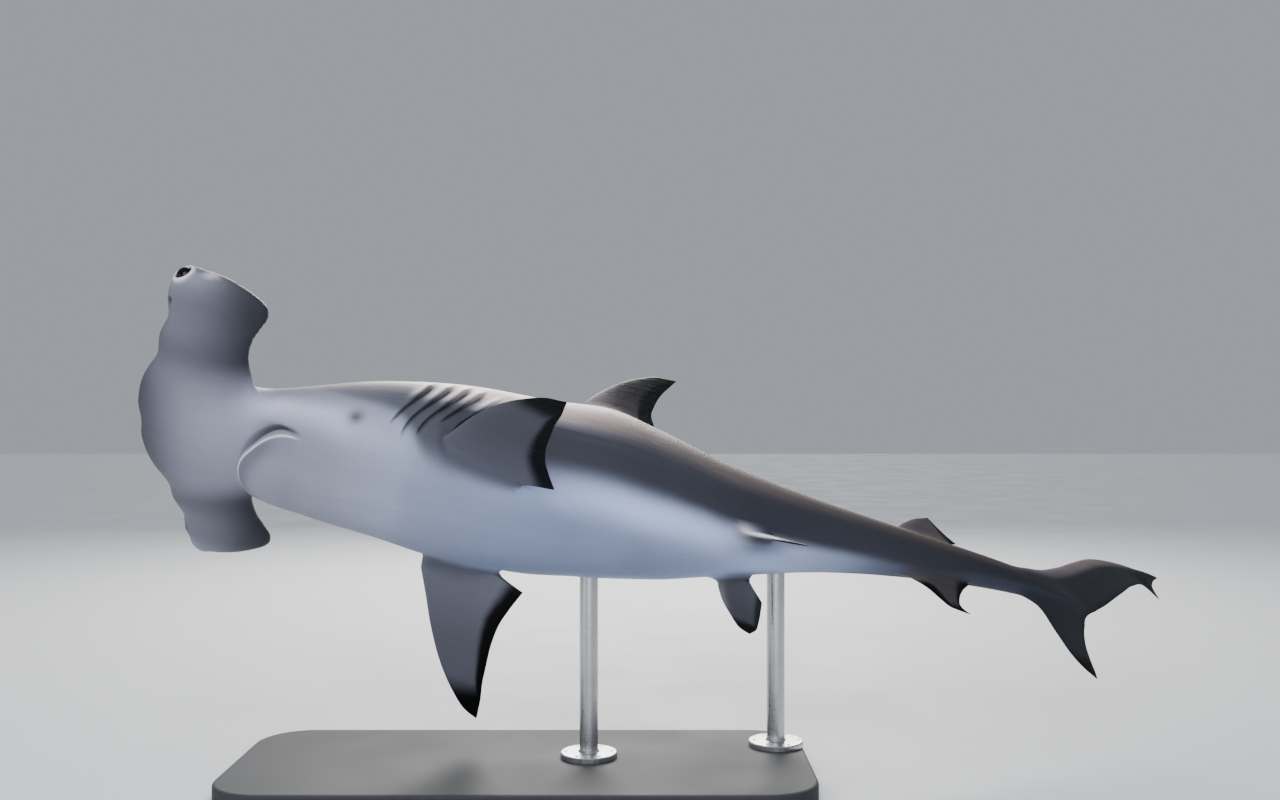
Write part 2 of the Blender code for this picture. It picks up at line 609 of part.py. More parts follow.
def middle_fin(name, leading, trailing, root, thickness):
    """A fin on the midline, whose plane is the layout's own x and z."""
    return Fin(name, (0, 0, 0), (1, 0, 0), (0, 0, 1), leading, trailing, root, thickness)


def build_fins(skin):
    """Every fin but the caudal."""
    for side, word in ((1, "right"), (-1, "left")):
        pectoral = paired(f"pectoral_fin_{word}", side, (0.226, 0.0597, -0.0406), (0.96, -0.094, -0.264),
                          (0.0, 0.942, -0.337), leading=PECTORAL_LEADING, trailing=PECTORAL_TRAILING,
                          root=PECTORAL_ROOT, thickness=0.10)
        build_fin(pectoral, skin, [body_cutter(0.18, 0.36)])
        spread = math.radians(PELVIC_SPREAD_DEG)
        pelvic = paired(f"pelvic_fin_{word}", side, (0.455, 0.0294, -0.046), (1, 0, 0),
                        (0.0, math.cos(spread), -math.sin(spread)), leading=PELVIC_LEADING,
                        trailing=PELVIC_TRAILING, root=PELVIC_ROOT, thickness=0.10)
        build_fin(pelvic, skin, [body_cutter(0.40, 0.56)])
    first = middle_fin("first_dorsal_fin", FIRST_DORSAL_LEADING, FIRST_DORSAL_TRAILING, FIRST_DORSAL_ROOT, 0.13)
    second = middle_fin("second_dorsal_fin", SECOND_DORSAL_LEADING, SECOND_DORSAL_TRAILING, SECOND_DORSAL_ROOT, 0.10)
    anal = middle_fin("anal_fin", ANAL_LEADING, ANAL_TRAILING, ANAL_ROOT, 0.09)
    build_fin(first, skin, [body_cutter(0.30, 0.45)])
    build_fin(second, skin, [body_cutter(0.56, 0.74)])
    build_fin(anal, skin, [body_cutter(0.54, 0.74)])


# ---- caudal fin ---------------------------------------------------------------------------
UPPER_LOBE_TOP = ((0.700, 0.000), (0.735, 0.0165), (0.7595, 0.0230), (0.7867, 0.0360), (0.8144, 0.0535),
                  (0.8438, 0.0710), (0.8914, 0.0892), (0.9216, 0.0990), (0.9565, 0.1120), (0.9750, 0.1172))
UPPER_LOBE_REAR = ((0.735, -0.012), (0.770, -0.020), (0.8036, -0.0150), (0.8200, -0.0010), (0.8400, 0.0140),
                   (0.8819, 0.0488), (0.9080, 0.0700), (0.9338, 0.0832), (0.9460, 0.0812), (0.9563, 0.0795),
                   (0.9505, 0.0905), (0.9545, 0.0985), (0.9640, 0.1085), (0.9750, 0.1172))
LOWER_LOBE_FRONT = ((0.712, -0.004), (0.7240, -0.0090), (0.7340, -0.0132), (0.7476, -0.0214), (0.7567, -0.0424),
                    (0.7675, -0.0648), (0.7765, -0.0745), (0.7888, -0.0820))
LOWER_LOBE_REAR = ((0.8130, -0.0040), (0.8010, -0.0200), (0.7927, -0.0371), (0.7893, -0.0520), (0.7888, -0.0650),
                   (0.7893, -0.0740), (0.7888, -0.0820))
LOWER_LOBE_ROOT = ((0.712, -0.004), (0.745, -0.003), (0.780, -0.002), (0.813, -0.004))
LOBE_BODY_SHARE = 0.28  # of the upper lobe's chord, where its spine makes it thickest


def lobe_rings(top, rear, steps, swell=0.0):
    """Sections of the upper lobe: thick along the top edge, where the spine runs, thin behind."""
    rings = []
    for i in range(steps):
        v = i / (steps - 1) * 0.992
        a, b = top(v), rear(v)
        chord = np.linalg.norm(b - a)
        b = b + (b - a) / chord * swell / UNIT
        upper, lower = [], []
        root_half = float(half_width(max(a[0], TAIL_CUT))) * (1 - 0.80 * smoothstep(0.10, 0.95, v))
        for u in FOIL_STEPS:
            flat = (1 - u) * a + u * b
            if u < LOBE_BODY_SHARE:
                body = math.sqrt(max(0.0, 1 - ((u - LOBE_BODY_SHARE) / LOBE_BODY_SHARE) ** 2))
            else:
                body = 1 - smoothstep(LOBE_BODY_SHARE, 0.80, u)
            half = min(root_half, chord * 0.30) * body + (FIN_EDGE + swell) / UNIT * min(1.0, u * 8)
            upper.append((flat[0], half, flat[1]))
            lower.append((flat[0], -half, flat[1]))
        rings.append(spine.place(upper + lower[:0:-1]))
    return rings


def end_block(front, rear):
    """A block across the tail between two stations."""
    corners = ((-0.1, -0.15), (0.1, -0.15), (0.1, 0.15), (-0.1, 0.15))
    return loft("end_block", [spine.place([(station, y, z) for y, z in corners]) for station in (front, rear)])


def upper_lobe(name, skin=None, swell=0.0):
    """The caudal fin's upper lobe, joined to the tapering end of the stem."""
    lobe = loft(name, lobe_rings(Edge(UPPER_LOBE_TOP), Edge(UPPER_LOBE_REAR), 28, swell), skin)
    stem = loft("stem", [body_ring(s, swell) for s in (0.715, 0.735, 0.75, 0.765, 0.78, 0.795)])
    combine(lobe, [stem], "UNION")
    return lobe


def build_caudal(skin):
    """The caudal fin's two lobes, set on the tail stem by a flat cut."""
    upper = upper_lobe("caudal_fin_upper", skin)
    combine(upper, [end_block(0.65, TAIL_CUT + GAP / 2 / UNIT)], "DIFFERENCE")
    lobe = middle_fin("caudal_fin_lower", LOWER_LOBE_FRONT, LOWER_LOBE_REAR, LOWER_LOBE_ROOT, 0.085)
    build_fin(lobe, skin, [upper_lobe("lobe_cutter", swell=CUTTER_SWELL), body_cutter(0.65, 0.77)])


# ---- stand --------------------------------------------------------------------------------
def base_outline(inset):
    """The rounded rectangle of the base."""
    points = []
    radius = BASE_CORNER - inset
    for quadrant in range(4):
        sx, sy = ((1, 1), (-1, 1), (-1, -1), (1, -1))[quadrant]
        cx, cy = sx * (BASE_LENGTH / 2 - BASE_CORNER), sy * (BASE_WIDTH / 2 - BASE_CORNER)
        for k in range(9):
            a = math.pi / 2 * (quadrant + k / 8)
            points.append((cx + radius * math.cos(a), cy + radius * math.sin(a)))
    return points


def build_stand(plate, steel):
    """The flat base and two short rods that end at the skin."""
    rings = []
    for inset, z in ((0, 0), (0, BASE_HEIGHT - BASE_BEVEL), (BASE_BEVEL * 0.3, BASE_HEIGHT - BASE_BEVEL * 0.3),
                     (BASE_BEVEL, BASE_HEIGHT)):
        rings.append(np.array([(x, y, z) for x, y in base_outline(inset)]))
    loft("stand_base", rings, plate)
    for name, station in ROD_STATIONS.items():
        x, y, top = spine.place([(station, 0, 0)])[0]
        foot = BASE_HEIGHT + GAP
        sections = ((FLANGE_RADIUS, foot), (FLANGE_RADIUS, foot + FLANGE_HEIGHT * 0.8),
                    (FLANGE_RADIUS - 0.002, foot + FLANGE_HEIGHT), (ROD_RADIUS + 0.003, foot + FLANGE_HEIGHT + 0.0005),
                    (ROD_RADIUS, foot + FLANGE_HEIGHT + 0.004), (ROD_RADIUS, float(top)))
        turn = np.arange(32) * 2 * math.pi / 32
        rings = [np.stack([x + r * np.cos(turn), y + r * np.sin(turn), np.full(32, z)], 1) for r, z in sections]
        rod = loft(name, rings, steel)
        combine(rod, [body_cutter(station - 0.06, station + 0.06)], "DIFFERENCE")


def main():
    """Build every node of the model."""
    for item in list(bpy.data.objects):
        bpy.data.objects.remove(item)
    skin = skin_material("skin", (0.33, 0.35, 0.39), 0.45)
    eye = skin_material("eye", (0.01, 0.01, 0.012), 0.1)
    plate = skin_material("stand_plate", (0.06, 0.065, 0.07), 0.5)
    steel = skin_material("stand_steel", (0.6, 0.6, 0.6), 0.3, metallic=1.0)
    build_head(skin, eye)
    body_length("throat_and_gills", NECK_CUT, GILL_CUT, gill_stations(), skin)
    body_length("torso", GILL_CUT, TORSO_CUT, span_stations(GILL_CUT, TORSO_CUT, 9), skin)
    body_length("trunk", TORSO_CUT, TRUNK_CUT, span_stations(TORSO_CUT, TRUNK_CUT, 10), skin)
    body_length("tail_stem", TRUNK_CUT, TAIL_CUT, span_stations(TRUNK_CUT, TAIL_CUT, 10), skin)
    build_fins(skin)
    build_caudal(skin)
    build_stand(plate, steel)


if __name__ == "__main__":
    main()
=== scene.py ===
"""Looks of the hammerhead shark model: one skin over its flesh, its eyes, and its display stand.

The shark is laid out straight first: x runs back from the snout, y to its right side and z to
its back, in shares of the layout's length. The whole skin is shaped and blended in that layout
and carried into the part's frame along the swimming curve of the midline at the end.
"""
import logging
import math
from dataclasses import dataclass, field, replace
from enum import Enum
from typing import Callable, Sequence

import bmesh
import bpy
import numpy as np
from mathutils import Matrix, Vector, kdtree


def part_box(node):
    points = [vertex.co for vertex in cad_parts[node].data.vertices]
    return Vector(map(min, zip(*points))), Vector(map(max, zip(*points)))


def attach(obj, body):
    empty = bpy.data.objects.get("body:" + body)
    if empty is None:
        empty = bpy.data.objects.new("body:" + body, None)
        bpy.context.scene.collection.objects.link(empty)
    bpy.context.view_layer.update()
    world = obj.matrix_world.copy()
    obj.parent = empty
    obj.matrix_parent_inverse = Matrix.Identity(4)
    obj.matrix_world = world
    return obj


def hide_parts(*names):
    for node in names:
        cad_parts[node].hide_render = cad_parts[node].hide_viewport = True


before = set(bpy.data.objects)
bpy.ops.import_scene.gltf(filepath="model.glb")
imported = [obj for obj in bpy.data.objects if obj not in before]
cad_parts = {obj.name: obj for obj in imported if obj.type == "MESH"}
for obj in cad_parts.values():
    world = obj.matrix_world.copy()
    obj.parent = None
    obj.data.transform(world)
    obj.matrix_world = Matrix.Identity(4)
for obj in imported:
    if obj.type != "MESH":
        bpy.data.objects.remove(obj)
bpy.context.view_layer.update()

log = logging.getLogger("shark")

Array = np.ndarray
Material, Mesh, Node = bpy.types.Material, bpy.types.Mesh, bpy.types.Node
Object, Socket = bpy.types.Object, bpy.types.NodeSocket
UNIT = 2.5  # m, the length that layout shares are shares of
MM = 0.001
TINY = 1e-9


class Side(Enum):
    """A side of the animal, by the sign of its y in the layout."""

    RIGHT = 1
    LEFT = -1


class Region(Enum):
    """What a point of the skin belongs to; the value is its number on the mesh."""

    BODY = 0
    PECTORAL = 1
    PELVIC = 2
    FIRST_DORSAL = 3
    SECOND_DORSAL = 4
    ANAL = 5
    CAUDAL = 6


# ---- curves ----
class Profile:
    """A smooth curve through (station, value) pairs that never overshoots them."""

    def __init__(self, stations: Sequence[float], values: Sequence[float]) -> None:
        """Work out the slopes.

        Args:
            stations: Rising positions along the curve.
            values: The value at each of them.
        """
        self.x, self.y = np.asarray(stations, float), np.asarray(values, float)
        step = np.diff(self.x)
        slope = np.diff(self.y) / step
        same = slope[:-1] * slope[1:] > 0
        before, after = 2 * step[1:] + step[:-1], step[1:] + 2 * step[:-1]
        inner = np.zeros(len(slope) - 1)
        inner[same] = ((before + after) / (before / np.where(same, slope[:-1], 1)
                                           + after / np.where(same, slope[1:], 1)))[same]
        self.m = np.concatenate([[slope[0]], inner, [slope[-1]]])

    def __call__(self, at: Array) -> Array:
        """The curve's value, held at its ends."""
        at = np.clip(at, self.x[0], self.x[-1])
        i = np.clip(np.searchsorted(self.x, at, side="right") - 1, 0, len(self.x) - 2)
        h = self.x[i + 1] - self.x[i]
        t = (at - self.x[i]) / h
        return ((1 + 2 * t) * (1 - t) ** 2 * self.y[i] + t * (1 - t) ** 2 * h * self.m[i]
                + t * t * (3 - 2 * t) * self.y[i + 1] + t * t * (t - 1) * h * self.m[i + 1])


class Edge:
    """A smooth line through a few points, followed by its share of length."""

    def __init__(self, points: Sequence[Sequence[float]]) -> None:
        """Measure the line.

        Args:
            points: The points in order.
        """
        points = np.asarray(points, float)
        steps = np.linalg.norm(np.diff(points, axis=0), axis=1)
        share = np.concatenate([[0], np.cumsum(steps)]) / steps.sum()
        self.curves = [Profile(share, points[:, k]) for k in range(points.shape[1])]

    def __call__(self, share: float) -> Array:
        """The point at a share of the line's length."""
        return np.array([float(curve(share)) for curve in self.curves])


def smoothstep(low: float, high: float, value: Array) -> Array:
    """0 below low, 1 above high, with an eased rise between."""
    t = np.clip((value - low) / (high - low), 0.0, 1.0)
    return t * t * (3 - 2 * t)


def smooth_min(a: Array, b: Array, blend: float) -> Array:
    """The lower of two distances, rounded over a width."""
    near = np.maximum(blend - np.abs(a - b), 0.0) / blend
    return np.minimum(a, b) - near * near * blend / 4


def soft_abs(value: Array, width: float) -> Array:
    """The absolute value, rounded near zero."""
    return np.sqrt(value ** 2 + width ** 2) - width


def smooth_max(a: Array, b: Array, blend: float) -> Array:
    """The higher of two distances, rounded over a width."""
    return -smooth_min(-a, -b, blend)


def bell(value: Array, centre: Array | float, width: float) -> Array:
    """1 at a centre, falling off smoothly over a width on both sides."""
    return np.exp(-((value - centre) / width) ** 2)


def rotation(axis: str, degrees: float) -> Array:
    """The matrix that turns about one axis."""
    c, s = math.cos(math.radians(degrees)), math.sin(math.radians(degrees))
    rows = {"X": ((1, 0, 0), (0, c, -s), (0, s, c)),
            "Y": ((c, 0, s), (0, 1, 0), (-s, 0, c)),
            "Z": ((c, -s, 0), (s, c, 0), (0, 0, 1))}
    return np.array(rows[axis])


@dataclass
class Spine:
    """The bent midline, which carries the straight layout into the part's frame."""

    snout: tuple = (-0.715, -0.09, 0.704)
    yaw: float = 5.6
    pitch: float = 10.8
    bank: float = -48.1
    bend_stations: tuple = (0.1, 0.3, 0.5, 0.68, 0.85)
    side_bend: tuple = (0.0, 10.0, 8.0, 20.0, 30.0)  # degrees per metre
    lift_bend: tuple = (-8.0, -5.0, -3.5, 0.0, 5.0)
    stiff_head: float = 0.08
    head_turn: float = 0.028  # how far the head's right side lies back, per share of its width
    head_turn_span: tuple = (0.09, 0.16)
    steps: int = 240

    def __post_init__(self) -> None:
        """Walk along the midline and keep its places and directions."""
        self.stations = np.linspace(0, 1, self.steps + 1)
        step = UNIT / self.steps
        bends = [np.where(self.stations < self.stiff_head, 0,
                          np.interp(self.stations, self.bend_stations, bend))
                 for bend in (self.side_bend, self.lift_bend)]
        turn = rotation("Z", self.yaw) @ rotation("Y", self.pitch) @ rotation("X", self.bank)
        point = np.array(self.snout)
        points, turns = [point], [turn]
        for side, lift in zip(bends[0][:-1], bends[1][:-1]):
            point = point + turn[:, 0] * step
            turn = turn @ rotation("Z", side * step) @ rotation("Y", lift * step)
            points.append(point)
            turns.append(turn)
        self.points, self.turns = np.array(points), np.array(turns).reshape(-1, 9)

    def place(self, layout: Array) -> Array:
        """Carry layout points into the part's frame.

        Args:
            layout: N x 3 shares.

        Returns:
            N x 3 metres.
        """
        layout = np.atleast_2d(np.asarray(layout, float))
        turned = self.head_turn * (1 - smoothstep(*self.head_turn_span, layout[:, 0]))
        at = layout[:, 0] + turned * layout[:, 1]
        point = np.stack([np.interp(at, self.stations, self.points[:, k]) for k in range(3)], 1)
        turn = np.stack([np.interp(at, self.stations, self.turns[:, k]) for k in range(9)], 1)
        turn = turn.reshape(-1, 3, 3)
        ahead = np.minimum(at, 0.0)[:, None] * UNIT * turn[:, :, 0]
        return point + ahead + UNIT * (turn[:, :, 1] * layout[:, 1:2] + turn[:, :, 2] * layout[:, 2:3])


# ---- body ----
SECTIONS = (  # station, half width, height of the back, depth of the belly
    (0.03, 0.024, 0.016, 0.018), (0.06, 0.03, 0.019, 0.032), (0.09, 0.0345, 0.0245, 0.049),
    (0.12, 0.0425, 0.0335, 0.0562), (0.18, 0.0565, 0.054, 0.0598), (0.25, 0.0643, 0.068, 0.07),
    (0.3, 0.0628, 0.0735, 0.0718), (0.35, 0.0598, 0.0845, 0.0658), (0.4, 0.049, 0.0715, 0.064),
    (0.45, 0.038, 0.0515, 0.055), (0.55, 0.0225, 0.03, 0.033), (0.65, 0.013, 0.0205, 0.02),
    (0.73, 0.0085, 0.016, 0.0115), (0.8, 0.004, 0.012, 0.008))


@dataclass
class Body:
    """Sections of the body, as shares, from the neck to the end of the tail stem."""

    widest: Profile = Profile(
        (0.09, 0.18, 0.25, 0.35, 0.45, 0.55, 0.65, 0.73),
        (0.0, -0.003, -0.008, -0.014, -0.01, -0.006, -0.003, 0.001))
    back_shape: Profile = Profile(
        (0.09, 0.18, 0.26, 0.34, 0.6, 0.75), (2.0, 1.8, 1.6, 1.5, 1.55, 1.8))
    belly_shape: float = 2.3
    throat: Profile = Profile(
        (0.035, 0.07, 0.09, 0.11, 0.13, 0.145, 0.157), (0.016, 0.026, 0.031, 0.041, 0.0553, 0.0577, 0.05845))

    def __post_init__(self) -> None:
        """Make the curves of the section table."""
        stations, width, back, belly = zip(*SECTIONS)
        self.width, self.back, self.belly = (Profile(stations, v) for v in (width, back, belly))

    def reach(self, station: Array, turn: Array) -> Array:
        """How far a unit section reaches at an angle round it."""
        side, up = np.cos(turn), np.sin(turn)
        power = self.belly_shape + (self.back_shape(station) - self.belly_shape) * smoothstep(0, 1, up)
        return (np.abs(side) ** power + np.abs(up) ** power) ** (-1 / power)

    def section(self, station: Array, turn: Array) -> tuple[Array, Array]:
        """The section's y and z at angles round it."""
        reach = self.reach(station, turn)
        level = self.widest(station)
        up = np.sin(turn)
        height = np.where(up > 0, self.back(station) - level, self.belly(station) + level)
        return self.width(station) * reach * np.cos(turn), level + height * reach * up

    def fullness(self, p: Array, depth: Profile, blunt: Array | float = 1.0, hinge: float = 0.0) -> Array:
        """0 on the section's outline, negative inside, in shares of its size.

        Args:
            p: N x 3 layout shares.
            depth: The curve of the depth below the midline.
            blunt: How far the section is shrunk.
            hinge: The height towards which it is shrunk.
        """
        station = p[:, 0]
        level = self.widest(station)
        y, z = p[:, 1] / blunt, hinge + (p[:, 2] - hinge) / blunt
        height = np.where(z > level, self.back(station) - level, depth(station) + level)
        y, z = y / self.width(station), (z - level) / height
        return np.hypot(y, z) / self.reach(station, np.arctan2(z, y)) - 1


def distance(fullness: Callable[[Array], Array], p: Array, step: float = 0.0002, least: float = 0.5) -> Array:
    """Turn a fullness into an approximate distance in metres by dividing by its slope.

    Args:
        fullness: A function of N x 3 layout shares.
        p: The points.
        step: The share over which the slope is measured.
        least: The least slope that it is divided by, per metre.
    """
    value = fullness(p)
    slope = [(fullness(p + np.eye(3)[k] * step) - value) / (step * UNIT) for k in range(3)]
    return value / np.maximum(np.sqrt(sum(s * s for s in slope)), least)


# ---- gills ----
@dataclass
class Gills:
    """Five slits on each side, each behind a raised flap, in rings that lean along them."""

    slits: tuple = (0.2023, 0.2148, 0.2264, 0.2373, 0.2513)
    slant: tuple = (0.00064, 0.00098)  # share per degree, first and last: upper ends lie farther back
    slant_centre: float = 2.0
    slant_reach: float = 34.0
    slant_window: float = 50.0
    top: tuple = (27.0, 26.0, 25.0, 23.0, 17.0)  # degrees up the flank where each slit ends
    bottom: tuple = (-22.0, -30.0, -28.0, -16.0, -20.0)
    fade: float = 8.0
    lean_span: tuple = (0.15, 0.19, 0.2525, 0.3)
    fold: tuple = (  # share behind the slit, height in mm: flap, its edge, floor, next flap
        (-0.0062, 0.5), (-0.005, 1.5), (-0.0038, 2.7), (-0.0027, 3.7), (-0.0018, 4.4), (-0.0011, 4.7),
        (-0.0006, 4.4), (-0.0003, 3.0), (0.0, -0.5), (0.0003, -5.5), (0.0006, -8.5), (0.0009, -9.0),
        (0.0013, -7.8), (0.0018, -5.6), (0.0024, -3.6), (0.0032, -2.0), (0.0042, -0.8))
    shallow: float = 0.5  # how much of its depth a slit keeps below
    rise_span: tuple = (0.35, 0.85)  # shares of the slit's arc over which it grows deeper and wider
    slit_width: tuple = (0.0007, 0.0026)  # shares, of the painted shade in the slit below and at the upper end
    slit_place: float = 0.6  # widths of the painted shade from the slit's station to its middle
    slit_below: float = 0.5  # how dark the painted shade is in the lower part
    flap_place: float = 0.0042
    flap_width: float = 0.0035
    flap_span: tuple = (0.56, 0.8)  # shares of the slit's arc over which the painted highlight on the flap sets in
    flap_fade: float = 14.0  # degrees above the slit over which it ends
    lean_rounds: int = 4  # how often the ring through a point is worked out again

    def shift(self, station: Array, angle: Array) -> Array:
        """How far a ring leans back at a flank angle."""
        a, b, c, d = self.lean_span
        strength = smoothstep(a, b, station) * (1 - smoothstep(c, d, station))
        off = angle - self.slant_centre
        lean = self.slant_reach * np.tanh(off / self.slant_reach) * np.exp(-(off / self.slant_window) ** 4)
        return strength * np.interp(station, (self.slits[0], self.slits[-1]), self.slant) * lean

    def marks(self, station: Array, angle: Array) -> tuple[Array, Array]:
        """How pale the painted highlight on the flaps is and how dark the painted shade in the slits, at stations and
        flank angles.
        """
        ring = station
        for _ in range(self.lean_rounds):
            ring = station - self.shift(ring, angle)
        flap_highlight, slit = np.zeros(len(station)), np.zeros(len(station))
        thin, thick = self.slit_width
        for number, (place, high) in enumerate(zip(self.slits, self.top)):
            arc, rise, back = self.arc(number, angle), self.rise(number, angle), ring - place
            wide = thin + (thick - thin) * rise
            cut = bell(back, self.slit_place * wide, wide) * arc
            slit = np.maximum(slit, cut * (self.slit_below + (1 - self.slit_below) * rise))
            lit = smoothstep(*self.angles(number, self.flap_span), angle)
            lit = lit * (1 - smoothstep(high, high + self.flap_fade, angle))
            flap_highlight = np.maximum(flap_highlight, bell(back, -self.flap_place, self.flap_width) * lit)
        return flap_highlight, slit

    def angles(self, number: int, shares: Sequence[float]) -> list[float]:
        """The flank angles at shares of a slit's arc."""
        low, high = self.bottom[number], self.top[number]
        return [low + share * (high - low) for share in shares]

    def rise(self, number: int, angle: Array) -> Array:
        """0 along a slit's lower part, 1 at its upper end."""
        return smoothstep(*self.angles(number, self.rise_span), angle)

    def arc(self, number: int, angle: Array) -> Array:
        """1 along a slit, fading at its two ends."""
        low, high = self.bottom[number], self.top[number]
        return smoothstep(low, low + self.fade, angle) * (1 - smoothstep(high - self.fade, high, angle))

    def rows(self) -> list[tuple[float, float, int]]:
        """Station, height in metres and slit number of every ring that forms a slit."""
        return [(slit + back, height * MM, number)
                for number, slit in enumerate(self.slits) for back, height in self.fold]


# ---- head ----
@dataclass
class Hammer:
    """The wide, flat blade of the head."""

    half_span: float = 0.14
    level: float = -0.003
    rise: float = 0.003  # of the tips
    setback: float = 0.0093
    sweep: float = 1.74  # the front edge is setback + sweep * y * y, less the notches
    notches: tuple = ((0.0, 0.022, -0.0027), (0.0, 0.006, 0.002), (0.061, 0.0135, 0.0082), (0.0945, 0.0115, 0.0076))
    bevel_start: float = 0.1268
    bevel_depth: float = 0.0054
    thinning: float = 0.42  # how much thinner the rear edge is, and how late that comes
    thinning_power: float = 1.5
    middle_round: float = 0.004
    roundness: float = 0.85
    tip_blend: float = 0.012  # m
    rear: Profile = Profile(
        (0.0, 0.045, 0.068, 0.085, 0.098, 0.11, 0.1155, 0.12, 0.1262, 0.1345, 0.1387, 0.14),
        (0.094, 0.0905, 0.0875, 0.0905, 0.0965, 0.1015, 0.1012, 0.0985, 0.0905, 0.074, 0.062, 0.056))
    thickness: Profile = Profile(
        (0.0, 0.04, 0.07, 0.1, 0.12, 0.1305, 0.1368, 0.14),
        (0.045, 0.038, 0.028, 0.0225, 0.021, 0.0185, 0.0125, 0.006))

    def front(self, span: Array) -> Array:
        """The front edge at a distance from the midline."""
        edge = self.setback + self.sweep * span ** 2
        for y, width, depth in self.notches:
            edge = edge + depth * np.exp(-0.5 * ((span - y) / width) ** 2)
        bevel = np.clip((span - self.bevel_start) / (self.half_span - self.bevel_start), 0, 1)
        return edge + self.bevel_depth * bevel ** 2

    def fullness(self, p: Array) -> Array:
        """0 on the blade's surface, negative inside."""
        span = np.minimum(soft_abs(p[:, 1], self.middle_round), self.half_span)
        front, rear = self.front(span), self.rear(span)
        along = (p[:, 0] - (front + rear) / 2) / ((rear - front) / 2)
        thin = 1 - self.thinning * ((np.clip(along, -1, 1) + 1) / 2) ** self.thinning_power
        level = self.level + self.rise * (span / self.half_span) ** 2
        up = np.abs(p[:, 2] - level) / (thin * self.thickness(span) / 2)
        return np.sqrt(along ** 2 + up ** (2 / self.roundness)) - 1

    def distance(self, p: Array) -> Array:
        """Distance to the blade in metres, with rounded tips."""
        tip = (np.abs(p[:, 1]) - self.half_span) * UNIT
        return smooth_max(distance(self.fullness, p), tip, self.tip_blend)


@dataclass
class Mouth:
    """The lower jaw's lobe, the curved line of the mouth and its lips, under the head."""

    corner: tuple = (0.13, 0.0387)
    reach: float = 0.042
    lobe_front: float = 0.0855
    lobe_full: float = 0.101
    lobe_round: float = 0.0155
    least_blunt: float = 0.04  # squared, where the lobe begins
    front_blend: float = 0.004  # m
    hinge: float = -0.028
    roof: float = -0.021
    roof_fade: float = 0.004
    roof_blend: float = 0.01  # m
    lip_end: tuple = (-0.006, 0.003)  # stations from the corner over which the lips end
    crease_width: float = 0.0014  # m
    crease_depth: float = 0.0036
    crease_tone: tuple = (0.45, 0.35)  # how dark the painted shade in the line is, and how much more at the corner
    lip_height: float = 0.0014
    lip_offset: float = 0.004
    lip_width: float = 0.0022
    rim_blend: float = 0.008  # m, how round the lobe's rim is
    dark_corner: tuple = (0.098, 0.122)  # where the painted shade along the line of the mouth deepens
    wall_depth: tuple = (0.0035, 0.006)  # m above the belly's outline where the lobe's wall is
    wall_span: tuple = (-0.0085, -0.0065)  # m from the line of the mouth
    shade_strength: tuple = (0.4, 0.72, 0.16)  # of the painted shade: outside, on the wall, and more at the corner
    shade_width: float = 0.0055  # m
    shade_edge: float = 0.001  # m from the line of the mouth, where outside and wall meet
    shade_start: tuple = (0.088, 0.108)  # stations over which the shade sets in
    shade_end: tuple = (-0.004, 0.005)  # stations from the corner over which it ends
    shade_top: tuple = (-0.014, -0.006)  # heights between which the shade ends
    rear: tuple = (0.122, 0.15)  # where the jaw sinks into the throat
    rear_sink: float = 0.007  # m

    def plan(self, p: Array) -> Array:
        """Distance in metres from the line of the mouth, seen from below; negative inside."""
        x, half = self.corner
        ahead, side = (p[:, 0] - x) / self.reach, p[:, 1] / half
        curve = (np.hypot(ahead, side) - 1) * (self.reach + half) / 2
        return np.where(p[:, 0] < x, curve, np.abs(p[:, 1]) - half) * UNIT

    def ahead_of_corner(self, p: Array, span: Sequence[float]) -> Array:
        """1 ahead of the mouth's corners and 0 behind, changing over a span of stations from them."""
        return 1 - smoothstep(self.corner[0] + span[0], self.corner[0] + span[1], p[:, 0])

    def fade(self, p: Array) -> Array:
        """1 along the line of the mouth, 0 behind its corners and above the jaw."""
        return self.ahead_of_corner(p, self.lip_end) * (1 - smoothstep(self.roof - self.roof_fade, self.roof, p[:, 2]))

    def below(self, body: Body, p: Array) -> Array:
        """Distance to the belly's section, blunt towards the lobe's front."""
        def fullness(q: Array) -> Array:
            """The section's fullness."""
            short = np.maximum(0.0, self.lobe_full - q[:, 0]) / self.lobe_round
            blunt = np.sqrt(np.maximum(self.least_blunt, 1 - short ** 2))
            return body.fullness(q, body.belly, blunt, self.hinge)

        return distance(fullness, p)

    def shade(self, body: Body, p: Array) -> tuple[Array, Array]:
        """How much painted shade darkens the skin near the lip, and where the wall behind the lip is."""
        plan, edge = self.plan(p), self.shade_edge
        wall = smoothstep(*self.wall_depth, -self.below(body, p)) * smoothstep(*self.wall_span, plan)
        beside = np.exp(-np.maximum(plan - edge, 0) / self.shade_width)
        where = self.ahead_of_corner(p, self.shade_end) * (1 - smoothstep(*self.shade_top, p[:, 2]))
        where = where * smoothstep(*self.shade_start, p[:, 0])
        outside, inside, corner = self.shade_strength
        strength = outside + (inside - outside) * (1 - smoothstep(-edge, edge, plan))
        strength = strength + corner * smoothstep(*self.dark_corner, p[:, 0])
        return strength * wall * beside * where, wall

    def jaw(self, body: Body, p: Array) -> Array:
        """Distance to the lobe of the lower jaw."""
        sunk = self.rear_sink * smoothstep(*self.rear, p[:, 0])
        lobe = smooth_max(self.below(body, p) + sunk, (self.lobe_front - p[:, 0]) * UNIT, self.front_blend)
        lobe = smooth_max(lobe, self.plan(p), self.rim_blend)
        return smooth_max(lobe, (p[:, 2] - self.roof) * UNIT, self.roof_blend)

    def relief(self, p: Array) -> tuple[Array, Array]:
        """Height of the lips and depth of the crease, and how much painted shade a point gets in the crease."""
        plan, fade = self.plan(p), self.fade(p)
        crease = bell(plan, 0.0, self.crease_width) * fade
        lips = bell(plan, -self.lip_offset, self.lip_width) * fade
        tone, more = self.crease_tone
        tone = tone + more * smoothstep(*self.dark_corner, p[:, 0])
        return self.lip_height * lips - self.crease_depth * crease, tone * crease


